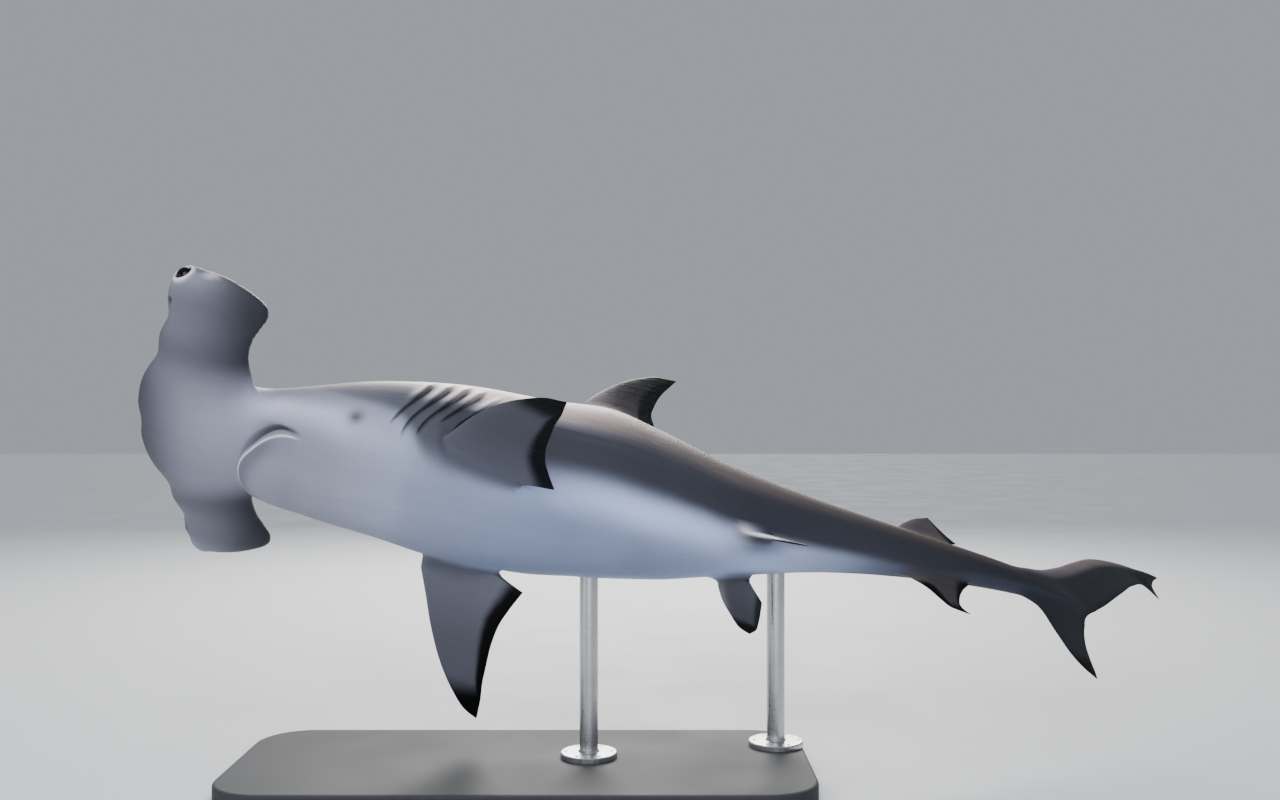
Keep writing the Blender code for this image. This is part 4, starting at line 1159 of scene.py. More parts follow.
def mottle_group() -> Group:
    """Two sizes of soft cloud around zero, and fine specks, used on skin, paint and steel."""
    group = Group("mottle", (("Vector", "Vector", None), ("Large Scale", "Float", 6.0),
                             ("Small Scale", "Float", 60.0), ("Speck Scale", "Float", 300.0)),
                  (("Cloud", "Float"), ("Grain", "Float"), ("Specks", "Float")))
    wire, vector = Wiring(group.tree), group.enter["Vector"]
    cloud = wire.noise(vector, group.enter["Large Scale"], 4.0)
    grain = wire.noise(vector, group.enter["Small Scale"], 5.0, 0.65)
    specks = wire.noise(vector, group.enter["Speck Scale"], 2.0)
    mean = 0.5
    wire.put(group.leave["Cloud"], wire.math("SUBTRACT", cloud, mean))
    wire.put(group.leave["Grain"], wire.math("SUBTRACT", grain, mean))
    wire.put(group.leave["Specks"], wire.ramp(specks, 0.6, 0.72))
    return group


def new_material(name: str, colour: Sequence[float], roughness: float, **values: float
                 ) -> tuple[Material, Wiring, bpy.types.NodeInputs]:
    """A material with its shader's plain values set.

    Args:
        name: The material's name.
        colour: Its base colour.
        roughness: Its roughness.
        values: The shader's other inputs, with underscores for spaces.

    Returns:
        The material, the wiring of its tree, and the inputs of its Principled node.
    """
    material = bpy.data.materials.new(name)
    material.use_nodes = True
    wire = Wiring(material.node_tree)
    shader = wire.fill(material.node_tree.nodes["Principled BSDF"], Base_Color=(*colour, 1), Roughness=roughness,
                       **values)
    return material, wire, shader.inputs


# ---- finishes ----
@dataclass(frozen=True)
class SkinFinish:
    """Satin shark skin, in tones of one cool grey that turns warm on some fins and where a painted highlight lies along
    the back, with painted shade in its creases and slits.

    Scales and stretches are per metre of the layout.
    """

    cool: tuple = (0.92, 0.95, 1.2)
    blue: tuple = (0.8, 0.965, 1.46)
    # the tint of the painted highlight along the back, and of the warm fins
    warm: tuple = (1.18, 0.925, 0.885)
    black: tuple = (0.002, 0.0022, 0.0028)
    # the pale lips, edges and rims, and the painted highlights on the gill flaps and the pelvic fins' front edges
    pale_line: tuple = (0.92, 0.89, 0.92)
    # painted shade in the mouth's line, the nostrils, the eye sockets and the gill slits
    crease: tuple = (0.018, 0.018, 0.022)
    roughness: float = 0.55
    roughness_gain: tuple = (0.2, -0.04)  # with the grain, and on the back
    specular: float = 0.12
    clouds: tuple = (5.0, 42.0, 210.0)
    streaks: tuple = (3.0, 26.0, 26.0)
    streak_scale: float = 1.6
    drift: tuple = (0.3, 0.12, 0.16)  # how far clouds, grain and streaks move the tone
    drift_gain: float = 0.55
    border_drift: float = 0.7  # how far the same drift moves the border of the back
    border_span: tuple = (0.06, 0.94)
    lines: tuple = (2.2, 60.0, 60.0)  # streaks of painted highlight along the lit ridge
    line_scale: tuple = (1.5, 3.0, 0.7)
    line_gain: tuple = (1.3, -0.69)
    specks: float = -0.1
    pale: float = 0.9
    black_grain: float = 0.2
    black_span: tuple = (0.1, 0.92)
    # how far that painted shade darkens the skin
    hollow: float = 0.92
    denticles: tuple = (620.0, 0.00022)  # scale, and depth in metres
    folds: tuple = (10.0, 90.0, 90.0)
    fold_depth: float = 0.0007

    def material(self, mottle: Group) -> Material:
        """The skin's material, which reads the marks stored on the mesh."""
        material, wire, shader = new_material("shark_skin", self.cool, self.roughness,
                                              Specular_IOR_Level=self.specular)
        layout = wire.attribute("layout").outputs["Vector"]
        marks = {name: wire.attribute(name).outputs["Fac"] for name in
                 ("back", "under", "dark", "warm", "blue", "black", "pale", "crease", "cut")}
        spots = wire.mottle(mottle, layout, self.clouds)
        cloud, grain, streak = self.drift
        streaks = wire.math("MULTIPLY_ADD", wire.fibres(layout, self.streaks, self.streak_scale), streak, -streak / 2)
        drift = wire.math("MULTIPLY_ADD", spots["Cloud"], cloud, wire.math("MULTIPLY", spots["Grain"], grain))
        drift = wire.math("ADD", drift, streaks)
        moved = wire.math("ADD", marks["back"], wire.math("MULTIPLY", drift, self.border_drift))
        back = wire.ramp(moved, *self.border_span)
        tone = wire.math("ADD", wire.math("MULTIPLY", marks["under"], wire.math("SUBTRACT", 1.0, back)),
                         wire.math("MULTIPLY", marks["dark"], back))
        lined = wire.math("MULTIPLY_ADD", wire.fibres(layout, self.lines, *self.line_scale), *self.line_gain)
        drift = wire.math("ADD", drift, wire.math("MULTIPLY", marks["warm"], lined))
        tone = wire.math("MULTIPLY", tone, wire.math("MULTIPLY_ADD", drift, self.drift_gain, 1.0))
        tone = wire.math("MULTIPLY", tone, wire.math("MULTIPLY_ADD", spots["Specks"], self.specks, 1.0))
        tint = wire.mix(marks["blue"], (*self.cool, 1), (*self.blue, 1))
        # warm where the painted highlight lies on the back
        tint = wire.mix(wire.math("MULTIPLY", marks["warm"], back), tint, (*self.warm, 1))
        grey = wire.node("ShaderNodeCombineXYZ", X=tone, Y=tone, Z=tone).outputs[0]
        colour = wire.mix(1.0, tint, grey, "MULTIPLY")
        colour = wire.mix(wire.math("MULTIPLY", marks["pale"], self.pale), colour, (*self.pale_line, 1))
        black = wire.math("ADD", marks["black"], wire.math("MULTIPLY", spots["Grain"], self.black_grain))
        colour = wire.mix(wire.ramp(black, *self.black_span), colour, (*self.black, 1))
        # painted shade in creases, nostrils, sockets and gill slits
        hollow = wire.math("MULTIPLY", wire.math("MAXIMUM", marks["crease"], marks["cut"]), self.hollow, clamp=True)
        wire.put(shader["Base Color"], wire.mix(hollow, colour, (*self.crease, 1)))
        with_grain, on_back = self.roughness_gain
        uneven = wire.math("MULTIPLY_ADD", spots["Grain"], with_grain, self.roughness)
        wire.put(shader["Roughness"], wire.math("MULTIPLY_ADD", back, on_back, uneven))
        scale, depth = self.denticles
        denticles = wire.node("ShaderNodeTexVoronoi", Vector=layout, Scale=scale).outputs["Distance"]
        folds = wire.bump(wire.fibres(layout, self.folds, 1.0), self.fold_depth)
        wire.put(shader["Normal"], wire.bump(denticles, depth, folds))
        return material


@dataclass(frozen=True)
class EyeFinish:
    """A wet, black eye with a thin paler ring of iris."""

    pupil: tuple = (0.0015, 0.0015, 0.002)
    iris: tuple = (0.006, 0.0055, 0.005)
    roughness: float = 0.2
    specular: float = 0.1
    coat: tuple = (0.14, 0.05)  # weight and roughness
    clouds: tuple = (120.0, 900.0, 2500.0)
    ring: tuple = ((0.38, 0.46), (0.62, 0.52))  # where the iris starts and ends, as quarter turns from the front
    fleck: float = 0.8

    def material(self, mottle: Group) -> Material:
        """The eye's material, which reads the angle stored on the ball."""
        weight, rough = self.coat
        material, wire, shader = new_material("shark_eye", self.pupil, self.roughness, Specular_IOR_Level=self.specular,
                                              Coat_Weight=weight, Coat_Roughness=rough)
        turn = wire.attribute("turn").outputs["Fac"]
        spots = wire.mottle(mottle, wire.attribute("layout").outputs["Vector"], self.clouds)
        ring = wire.math("MULTIPLY", *(wire.ramp(turn, *span) for span in self.ring))
        ring = wire.math("MULTIPLY", ring, wire.math("ADD", spots["Grain"], self.fleck), clamp=True)
        wire.put(shader["Base Color"], wire.mix(ring, (*self.pupil, 1), (*self.iris, 1)))
        return material


@dataclass(frozen=True)
class PaintFinish:
    """Satin charcoal paint with a faint orange peel and soft wear towards the edges."""

    colour: tuple = (0.036, 0.039, 0.045)
    worn: tuple = (0.07, 0.073, 0.079)
    roughness: float = 0.66
    roughness_gain: float = 0.25
    specular: float = 0.16
    clouds: tuple = (4.0, 45.0, 420.0)
    rim_span: tuple = (-0.006, 0.001)  # m from the base's sides over which the wear sets in
    top_span: float = 0.008  # m below its top
    wear: float = 0.45
    dust: tuple = (0.5, 0.12)
    specks: float = 0.2
    peel: tuple = (520.0, 2.0)  # scale and detail
    peel_depth: float = 0.00018

    def material(self, mottle: Group, half: Sequence[float], height: float) -> Material:
        """The paint's material.

        Args:
            mottle: The shared group of clouds and specks.
            half: Half the base's length and width, where the wear gathers.
            height: The base's top.
        """
        material, wire, shader = new_material("stand_paint", self.colour, self.roughness,
                                              Specular_IOR_Level=self.specular)
        place = wire.object_place()
        spots = wire.mottle(mottle, place, self.clouds)
        parts = wire.node("ShaderNodeSeparateXYZ", Vector=place).outputs
        rims = [wire.ramp(wire.math("ABSOLUTE", parts[k]), *(half[k] + off for off in self.rim_span)) for k in (0, 1)]
        rim = wire.math("MULTIPLY", wire.math("MAXIMUM", *rims), wire.ramp(parts[2], height - self.top_span, height))
        wear = wire.math("MULTIPLY", rim, wire.math("ADD", spots["Grain"], self.wear), clamp=True)
        dust = wire.math("MULTIPLY_ADD", spots["Cloud"], *self.dust, clamp=True)
        share = wire.math("MAXIMUM", dust, wire.math("MULTIPLY", spots["Specks"], self.specks))
        share = wire.math("MAXIMUM", wear, share)
        wire.put(shader["Base Color"], wire.mix(share, (*self.colour, 1), (*self.worn, 1)))
        wire.put(shader["Roughness"], wire.math("MULTIPLY_ADD", spots["Cloud"], self.roughness_gain, self.roughness))
        wire.put(shader["Normal"], wire.bump(wire.noise(place, *self.peel), self.peel_depth))
        return material


@dataclass(frozen=True)
class SteelFinish:
    """Satin steel, brushed round or along its length, with a little grime in soft clouds."""

    name: str = "stand_satin_steel"
    colour: tuple = (0.56, 0.565, 0.575)
    grime: tuple = (0.3, 0.29, 0.27)
    grime_share: tuple = (0.8, 0.1)
    roughness: float = 0.3
    roughness_gain: tuple = (0.2, 0.2)  # with the brushing and with the grain
    clouds: tuple = (14.0, 120.0, 600.0)
    brushing: tuple = (40.0, 40.0, 1400.0)
    brush_shape: tuple = (1.0, 2.0)  # scale and detail
    brush_depth: float = 0.00006

    def material(self, mottle: Group) -> Material:
        """The steel's material."""
        material, wire, shader = new_material(self.name, self.colour, self.roughness, Metallic=1.0)
        place = wire.object_place()
        spots = wire.mottle(mottle, place, self.clouds)
        brushed = wire.fibres(place, self.brushing, *self.brush_shape)
        share = wire.math("MULTIPLY_ADD", spots["Cloud"], *self.grime_share, clamp=True)
        wire.put(shader["Base Color"], wire.mix(share, (*self.colour, 1), (*self.grime, 1)))
        brush, grain = self.roughness_gain
        rough = wire.math("MULTIPLY_ADD", brushed, brush, self.roughness - brush / 2)
        wire.put(shader["Roughness"], wire.math("MULTIPLY_ADD", spots["Grain"], grain, rough))
        wire.put(shader["Normal"], wire.bump(brushed, self.brush_depth))
        return material


# ---- meshes ----
def mesh_from(name: str, points: Array, triangles: Array) -> Mesh:
    """A mesh with its faces turned outwards."""
    mesh = bpy.data.meshes.new(name)
    mesh.from_pydata(points.tolist(), [], triangles.tolist())
    work = bmesh.new()
    work.from_mesh(mesh)
    bmesh.ops.recalc_face_normals(work, faces=work.faces[:])
    work.to_mesh(mesh)
    work.free()
    return mesh


def add_object(name: str, data: bpy.types.ID) -> Object:
    """An object of a mesh, lamp or camera at the world's origin, in the scene."""
    item = bpy.data.objects.new(name, data)
    bpy.context.scene.collection.objects.link(item)
    return item


def store(mesh: Mesh, name: str, values: Array) -> None:
    """Keep a number or a vector for each point of a mesh."""
    vector = values.ndim == 2
    made = mesh.attributes.new(name, "FLOAT_VECTOR" if vector else "FLOAT", "POINT")
    made.data.foreach_set("vector" if vector else "value", np.ascontiguousarray(values, dtype=np.float32).ravel())


def mesh_points(mesh: Mesh) -> Array:
    """The points of a mesh."""
    flat = np.empty(len(mesh.vertices) * 3)
    mesh.vertices.foreach_get("co", flat)
    return flat.reshape(-1, 3)


def tree_of(points: Array) -> kdtree.KDTree:
    """A search tree of points."""
    tree = kdtree.KDTree(len(points))
    for i, point in enumerate(points.tolist()):
        tree.insert(point, i)
    tree.balance()
    return tree


def nearest(tree: kdtree.KDTree, points: Array) -> tuple[Array, Array]:
    """The number of the nearest point in the tree to each point, and how far it is."""
    found = [tree.find(point) for point in points.tolist()]
    return np.array([f[1] for f in found]), np.array([f[2] for f in found])


# ---- the skin ----
@dataclass
class Markings:
    """How pale, dark, warm or black the skin is, from places in the straight layout.

    The curves run over the station. Tones are shares of white.
    """

    body: Body
    gills: Gills = field(default_factory=Gills)
    mouth: Mouth = field(default_factory=Mouth)
    eyes: tuple = (Eye(Side.RIGHT), Eye(Side.LEFT))
    # degrees up the flank where the dark back begins, and how softly; round the front of the pectoral fins' roots it
    # reaches lower, as painted shade
    border: Profile = Profile(
        (0.12, 0.16, 0.193, 0.205, 0.219, 0.24, 0.27, 0.31, 0.333, 0.38, 0.405, 0.44, 0.475, 0.525, 0.585, 0.63, 0.69),
        (24, 1, -10, -22, -38, -44, -38, -29, -28, -32, -36, -44, -52, -61, -66, -74, -50))
    softness: Profile = Profile(
        (0.12, 0.16, 0.195, 0.22, 0.31, 0.4, 0.44, 0.51, 0.585), (10, 9, 13, 14, 17, 17, 17, 18, 20))
    below: Profile = Profile(
        (0.1, 0.125, 0.148, 0.175, 0.198, 0.216, 0.24, 0.36, 0.38, 0.405, 0.44, 0.48, 0.51, 0.545, 0.585, 0.63, 0.69),
        (0.28, 0.27, 0.28, 0.34, 0.36, 0.3, 0.29, 0.31, 0.29, 0.32, 0.36, 0.42, 0.42, 0.33, 0.14, 0.062, 0.042))
    # how much paler the keel is than the flank above it
    keel: Profile = Profile(
        (0.125, 0.15, 0.2, 0.24, 0.32, 0.36, 0.39, 0.43, 0.48, 0.53, 0.58),
        (0.02, 0.06, 0.06, 0.06, 0.07, 0.06, 0.03, 0.04, 0.14, 0.03, 0.0))
    keel_span: tuple = (-55.0, -82.0)  # degrees
    # the brighter band under the border, a painted highlight where the flank faces the light: its angle, and how much
    # is added
    band: Profile = Profile(
        (0.11, 0.135, 0.16, 0.195, 0.23, 0.31, 0.333, 0.355, 0.38, 0.405, 0.44, 0.48, 0.53),
        (-12, -17, -23, -31, -56, -43, -42, -43, -47, -50, -58, -64, -70))
    band_gain: Profile = Profile(
        (0.11, 0.135, 0.155, 0.175, 0.195, 0.23, 0.31, 0.333, 0.355, 0.38, 0.42, 0.45, 0.48, 0.53),
        (0.38, 0.36, 0.32, 0.14, 0.07, 0.03, 0.21, 0.29, 0.35, 0.42, 0.35, 0.22, 0.08, 0.0))
    band_width: float = 15.0
    blue_span: tuple = (0.13, 0.3)
    blue_lost: float = 0.8  # on the back
    above: Profile = Profile(
        (0.12, 0.16, 0.195, 0.22, 0.24, 0.31, 0.36, 0.4, 0.475, 0.555, 0.65, 0.705),
        (0.22, 0.17, 0.11, 0.08, 0.06, 0.058, 0.054, 0.053, 0.042, 0.042, 0.034, 0.028))
    # the upper flank's paler, warm tone below the crown: a painted highlight where the back catches the light from
    # above
    painted_ridge_light: Profile = Profile(
        (0.13, 0.16, 0.2, 0.225, 0.29, 0.315, 0.34, 0.36, 0.38, 0.44, 0.51, 0.56, 0.65),
        (0.22, 0.25, 0.33, 0.52, 0.6, 0.42, 0.27, 0.21, 0.16, 0.11, 0.082, 0.065, 0.048))
    ridge_low: Profile = Profile(
        (0.13, 0.19, 0.24, 0.28, 0.31, 0.35, 0.39, 0.46, 0.6), (8, 7, 0, -1, 5, 6, 6, -4, -2))  # degrees
    ridge_width: Profile = Profile((0.2, 0.26, 0.315, 0.38), (26, 18, 15, 26))
    crown: Profile = Profile((0.1, 0.3, 0.45, 0.65), (0.09, 0.085, 0.055, 0.032))
    crown_span: tuple = (36.0, 62.0)  # degrees over which the painted light of the ridge gives way to the darker crown
    head_end: tuple = (0.085, 0.108)
    wing_start: tuple = (0.046, 0.06)
    wing_end: float = 0.13
    # how far up the head's top faces where it starts and is full, each with its change on the wings
    top_facing: tuple = ((0.05, -0.35), (0.55, -0.2))
    # the hammer's underside, in its middle and out on its wings; its darker front edge and wings are partly its own
    # colour and partly painted shade
    hammer_middle: Profile = Profile(
        (0.01, 0.02, 0.03, 0.04, 0.05, 0.07, 0.1), (0.06, 0.105, 0.175, 0.245, 0.3, 0.33, 0.3))
    hammer_wing: Profile = Profile(
        (0.03, 0.04, 0.05, 0.06, 0.07, 0.08, 0.09, 0.1), (0.15, 0.172, 0.168, 0.15, 0.12, 0.078, 0.05, 0.04))
    wing_span: tuple = (0.038, 0.074)
    belt: tuple = (0.077, 0.013, 0.2)  # where the wing is darkest, how wide, and how much darker
    tip_span: tuple = (0.118, 0.142)
    tip_fade: tuple = (0.04, 0.085)  # stations over which the paler tip ends
    tip_gain: float = 0.13
    tip_edge: tuple = (0.1385, 0.14)
    tip_edge_start: tuple = (0.055, 0.065)
    tip_edge_tone: float = 0.6
    nape: tuple = (0.094, 0.041, 0.012, 0.15)  # station, span and size of a pale patch, and how much is added
    wing_corner: tuple = (0.0965, 0.0368, 0.0085, 0.005, 0.75)  # place, size and strength of a pale corner
    hammer_top: float = 0.09
    hammer_warmth: float = 0.5
    jaw_shade: tuple = (-0.011, 0.016, 0.58)  # m inside the line of the mouth, width, and how much darker
    jaw_span: tuple = (-0.002, -0.0045)  # m
    jaw_end: tuple = (0.102, 0.124)
    jaw_loss: float = 0.8  # at its end
    lip_line: float = 0.001  # m
    lip_facing: tuple = (0.1, -0.4)
    eye_rim: tuple = (0.0178, 0.0036, 0.95)  # radius and width in m, and how pale
    eye_rim_start: float = 0.003  # m
    # how pale the painted highlight on the gill flaps is
    flap_tone: float = 0.95
    spot: tuple = (0.166, -0.0523, -0.0203)
    spot_size: float = 0.006
    # how far the painted shade round the mouth and the dark spot darken the tone
    shade_depth: float = 0.78
    # the painted shadow under the pelvic fins: station and degrees, their widths, and how much darker
    pelvic_painted_shadow: tuple = (0.472, 0.02, -64.0, 13.0, 0.62)

    def hammer(self, station: Array, span: Array) -> Array:
        """The tone of the hammer's underside."""
        wing = smoothstep(*self.wing_span, span)
        centre, width, depth = self.belt
        tone = self.hammer_middle(station) * (1 - wing) + self.hammer_wing(station) * wing
        tone = tone * (1 - depth * bell(span, centre, width))
        back, side, size, gain = self.nape
        tone = tone + gain * bell(np.hypot(station - back, span - side), 0.0, size)
        return tone + self.tip_gain * smoothstep(*self.tip_span, span) * (1 - smoothstep(*self.tip_fade, station))

    def head_places(self, p: Array, facing: Array) -> tuple[Array, Array]:
        """How much of the head's tones points take, and how far they are on its top."""
        wing = smoothstep(*self.wing_start, np.abs(p[:, 1])) * (p[:, 0] < self.wing_end)
        low, high = (middle + shift * wing for middle, shift in self.top_facing)
        return np.maximum(1 - smoothstep(*self.head_end, p[:, 0]), wing), smoothstep(low, high, facing)

    def under_tone(self, station: Array, angle: Array) -> Array:
        """The body's tone below the border of the back, with the band's painted highlight and the painted shadow under
        the pelvic fins.
        """
        under = self.below(station) + self.band_gain(station) * bell(angle, self.band(station), self.band_width)
        under = under + self.keel(station) * smoothstep(*self.keel_span, angle)
        behind, length, level, height, depth = self.pelvic_painted_shadow
        return under * (1 - depth * bell(station, behind, length) * bell(angle, level, height))

    def mouth_marks(self, p: Array, facing: Array) -> tuple[Array, Array]:
        """How dark the painted shade round the mouth is, and how pale its lip."""
        plan, fade = self.mouth.plan(p), self.mouth.fade(p) * smoothstep(*self.lip_facing, facing)
        shade, wall = self.mouth.shade(self.body, p)
        inside, width, depth = self.jaw_shade
        jaw = smoothstep(*self.jaw_span, plan) * (1 - wall)
        jaw = jaw * (1 - self.jaw_loss * smoothstep(*self.jaw_end, p[:, 0])) * fade
        shade = np.maximum(shade, depth * bell(plan, inside, width) * jaw)
        return shade, bell(plan, -self.mouth.lip_offset, self.lip_line) * fade * (1 - wall)

    def pale_places(self, p: Array) -> Array:
        """How pale the hammer's end edges, its rear corners and the rims of the eyes are."""
        station, span = p[:, 0], np.abs(p[:, 1])
        pale = self.tip_edge_tone * smoothstep(*self.tip_edge, span) * smoothstep(*self.tip_edge_start, station)
        *place, size, tone = self.wing_corner
        off = np.stack([station, span, p[:, 2]], 1) - np.array(place)
        pale = np.maximum(pale, tone * bell(np.linalg.norm(off, axis=1), 0.0, size))
        radius, width, tone = self.eye_rim
        for eye in self.eyes:
            ahead, across = eye.local(p)
            pale = np.maximum(pale, tone * bell(across, radius, width) * (ahead > self.eye_rim_start))
        return pale

    def marks(self, p: Array, normal: Array) -> dict[str, Array]:
        """The marks of the body at layout points, by their names on the mesh.

        Args:
            p: N x 3 shares.
            normal: The skin's directions in the layout.
        """
        station, span, facing = p[:, 0], np.abs(p[:, 1]), normal[:, 2]
        angle = np.degrees(np.arctan2(p[:, 2] - self.body.widest(station), span))
        on_head, top = self.head_places(p, facing)
        back = smoothstep(-1, 1, (angle - self.border(station)) / self.softness(station))
        back = back + (top - back) * on_head
        under = self.under_tone(station, angle)
        under = under + (self.hammer(station, span) - under) * on_head
        # painted highlight: the upper flank turns paler and warm where the back catches the light from above
        lit = smoothstep(0, 1, (angle - self.ridge_low(station)) / self.ridge_width(station)) * (1 - on_head)
        dark = self.above(station) * (1 - lit) + self.painted_ridge_light(station) * lit
        dark = dark + (self.crown(station) - dark) * smoothstep(*self.crown_span, angle)
        dark = dark + (self.hammer_top - dark) * on_head
        lit = lit + (self.hammer_warmth * top - lit) * on_head
        # painted shade round the mouth, and the dark spot
        shade, lip = self.mouth_marks(p, facing)
        shade = np.maximum(shade, bell(np.linalg.norm(p - np.array(self.spot), axis=1), 0.0, self.spot_size))
        # painted highlight on the gill flaps and painted shade in the slits
        flap_highlight, slit = self.gills.marks(station, angle)
        pale = np.maximum(np.maximum(lip, self.flap_tone * flap_highlight), self.pale_places(p))
        blue = smoothstep(*self.blue_span, station) * (1 - self.blue_lost * np.clip(back, 0, 1))
        return {"back": back, "under": under * (1 - self.shade_depth * shade), "dark": dark, "warm": lit,
                "blue": blue, "pale": pale, "black": np.zeros(len(p)), "cut": slit}


@dataclass
class FinMarkings:
    """Tones of the fins and where they are black; spans run outwards or from the front edge back.

    Tuples of seven follow the regions.
    """

    outward_end: float = 0.55
    front_end: float = 0.45
    pectoral: tuple = (0.14, -0.05, 1.2, 0.97, 0.058)  # root, change outwards, right, left: factors that paint the right fin lighter than the left, for the light that falls on it; above
    pelvic: tuple = (0.085, -0.03, 0.06, 0.85)  # root, change outwards; above, and how much paler in front, a painted highlight on the upper face
    pelvic_front: tuple = (0.08, 0.28)
    first_dorsal: tuple = (0.018, 0.22, 0.05)  # and how much paler at the root, in front and all over
    small: tuple = (0.072, 0.05, 0.03)  # second dorsal and anal fin, and how much paler in front
    small_warmth: float = 0.6
    tail: tuple = (0.024, 0.13)  # and how much paler at the crest, a painted highlight
    # where the painted highlight on the tail's crest lies, across and along
    painted_crest_light: tuple = ((0.17, 0.31), (0.5, 0.3))
    broad_band: tuple = (0.86, -0.06, 0.35)  # black of the pectoral fin: start, change outwards, its end
    dorsal_band: tuple = (0.78, -0.16)
    bands: tuple = (0.8, 0.86, 0.86, 0.87)  # pelvic, second dorsal, anal and caudal fins
    band_edges: tuple = (-0.09, 0.12)
    band_strength: tuple = (0.0, 1.0, 0.7, 1.0, 1.0, 1.0, 0.5)
    tip_start: tuple = (0.64, 0.64, 0.55, 0.64, 0.84, 0.62, 0.64)
    tip_length: float = 0.26
    anal_edge: tuple = ((0.3, 0.5), (0.12, 0.45))  # its black front
    line: tuple = (0.1, 0.55, -0.4)  # width and tone of the painted highlight along the pelvic fins' front edge, and change by side
    line_span: tuple = ((0.07, 0.18), (0.4, 0.65))

    def black(self, region: Array, along: Array, chord: Array, outward: Array) -> Array:
        """How black the rear edges and the tips are."""
        start, change, end = self.broad_band
        broad = start + change * smoothstep(0.0, end, along)
        start, change = self.dorsal_band
        dorsal = start + change * outward
        first = np.choose(region, [0.0, broad, self.bands[0], dorsal, *self.bands[1:]])
        low, high = self.band_edges
        rear = smoothstep(first + low, first + high, chord) * np.choose(region, self.band_strength)
        tip = np.choose(region, self.tip_start)
        out, over = self.anal_edge
        lower = (region == Region.ANAL.value) * smoothstep(*out, along) * (1 - smoothstep(*over, chord))
        return np.maximum(np.maximum(smoothstep(tip, tip + self.tip_length, along), rear), lower)

    def marks(self, region: Array, along: Array, chord: Array, face: Array, p: Array) -> dict[str, Array]:
        """The marks of the fins by their names on the mesh.

        Args:
            region: The number of the fin's kind.
            along: 0 at the root, 1 at the tip.
            chord: 0 at the front edge, 1 at the rear edge.
            face: 1 on the upper face.
            p: N x 3 shares.
        """
        outward, front = smoothstep(0.0, self.outward_end, along), 1 - smoothstep(0.0, self.front_end, chord)
        side, zero = np.sign(p[:, 1]), np.zeros(len(along))
        root, change, right, left, above = self.pectoral
        pectoral = np.where(face * side > 0, above, (root + change * outward) * np.where(side > 0, right, left))
        root, change, above, paler = self.pelvic
        pelvic = np.where(face * side > 0, above + paler * front * smoothstep(*self.pelvic_front, along),
                          root + change * outward)
        tone, in_front, all_over = self.first_dorsal
        dorsal = tone + (in_front * front + all_over) * (1 - outward)
        back, low, paler = self.small
        painted_crest_light = (1 - smoothstep(*self.painted_crest_light[0], chord)) * bell(along, *self.painted_crest_light[1]) * (p[:, 2] > 0)
        tone = np.choose(region, [zero, pectoral, pelvic, dorsal, back + paler * front, low + paler * front,
                                  self.tail[0] + self.tail[1] * painted_crest_light])
        warm = np.choose(region, [zero, zero, zero, 1 - outward, self.small_warmth, self.small_warmth, painted_crest_light])
        start, end = (smoothstep(*span, along) for span in self.line_span)
        width, pale, change = self.line
        pale = bell(chord, 0.0, width) * (start - end) * (pale + change * side)
        return {"back": zero + 1, "under": tone, "dark": tone, "warm": warm, "blue": zero,
                "pale": np.where(region == Region.PELVIC.value, pale, zero),
                "black": self.black(region, along, chord, outward), "cut": zero}


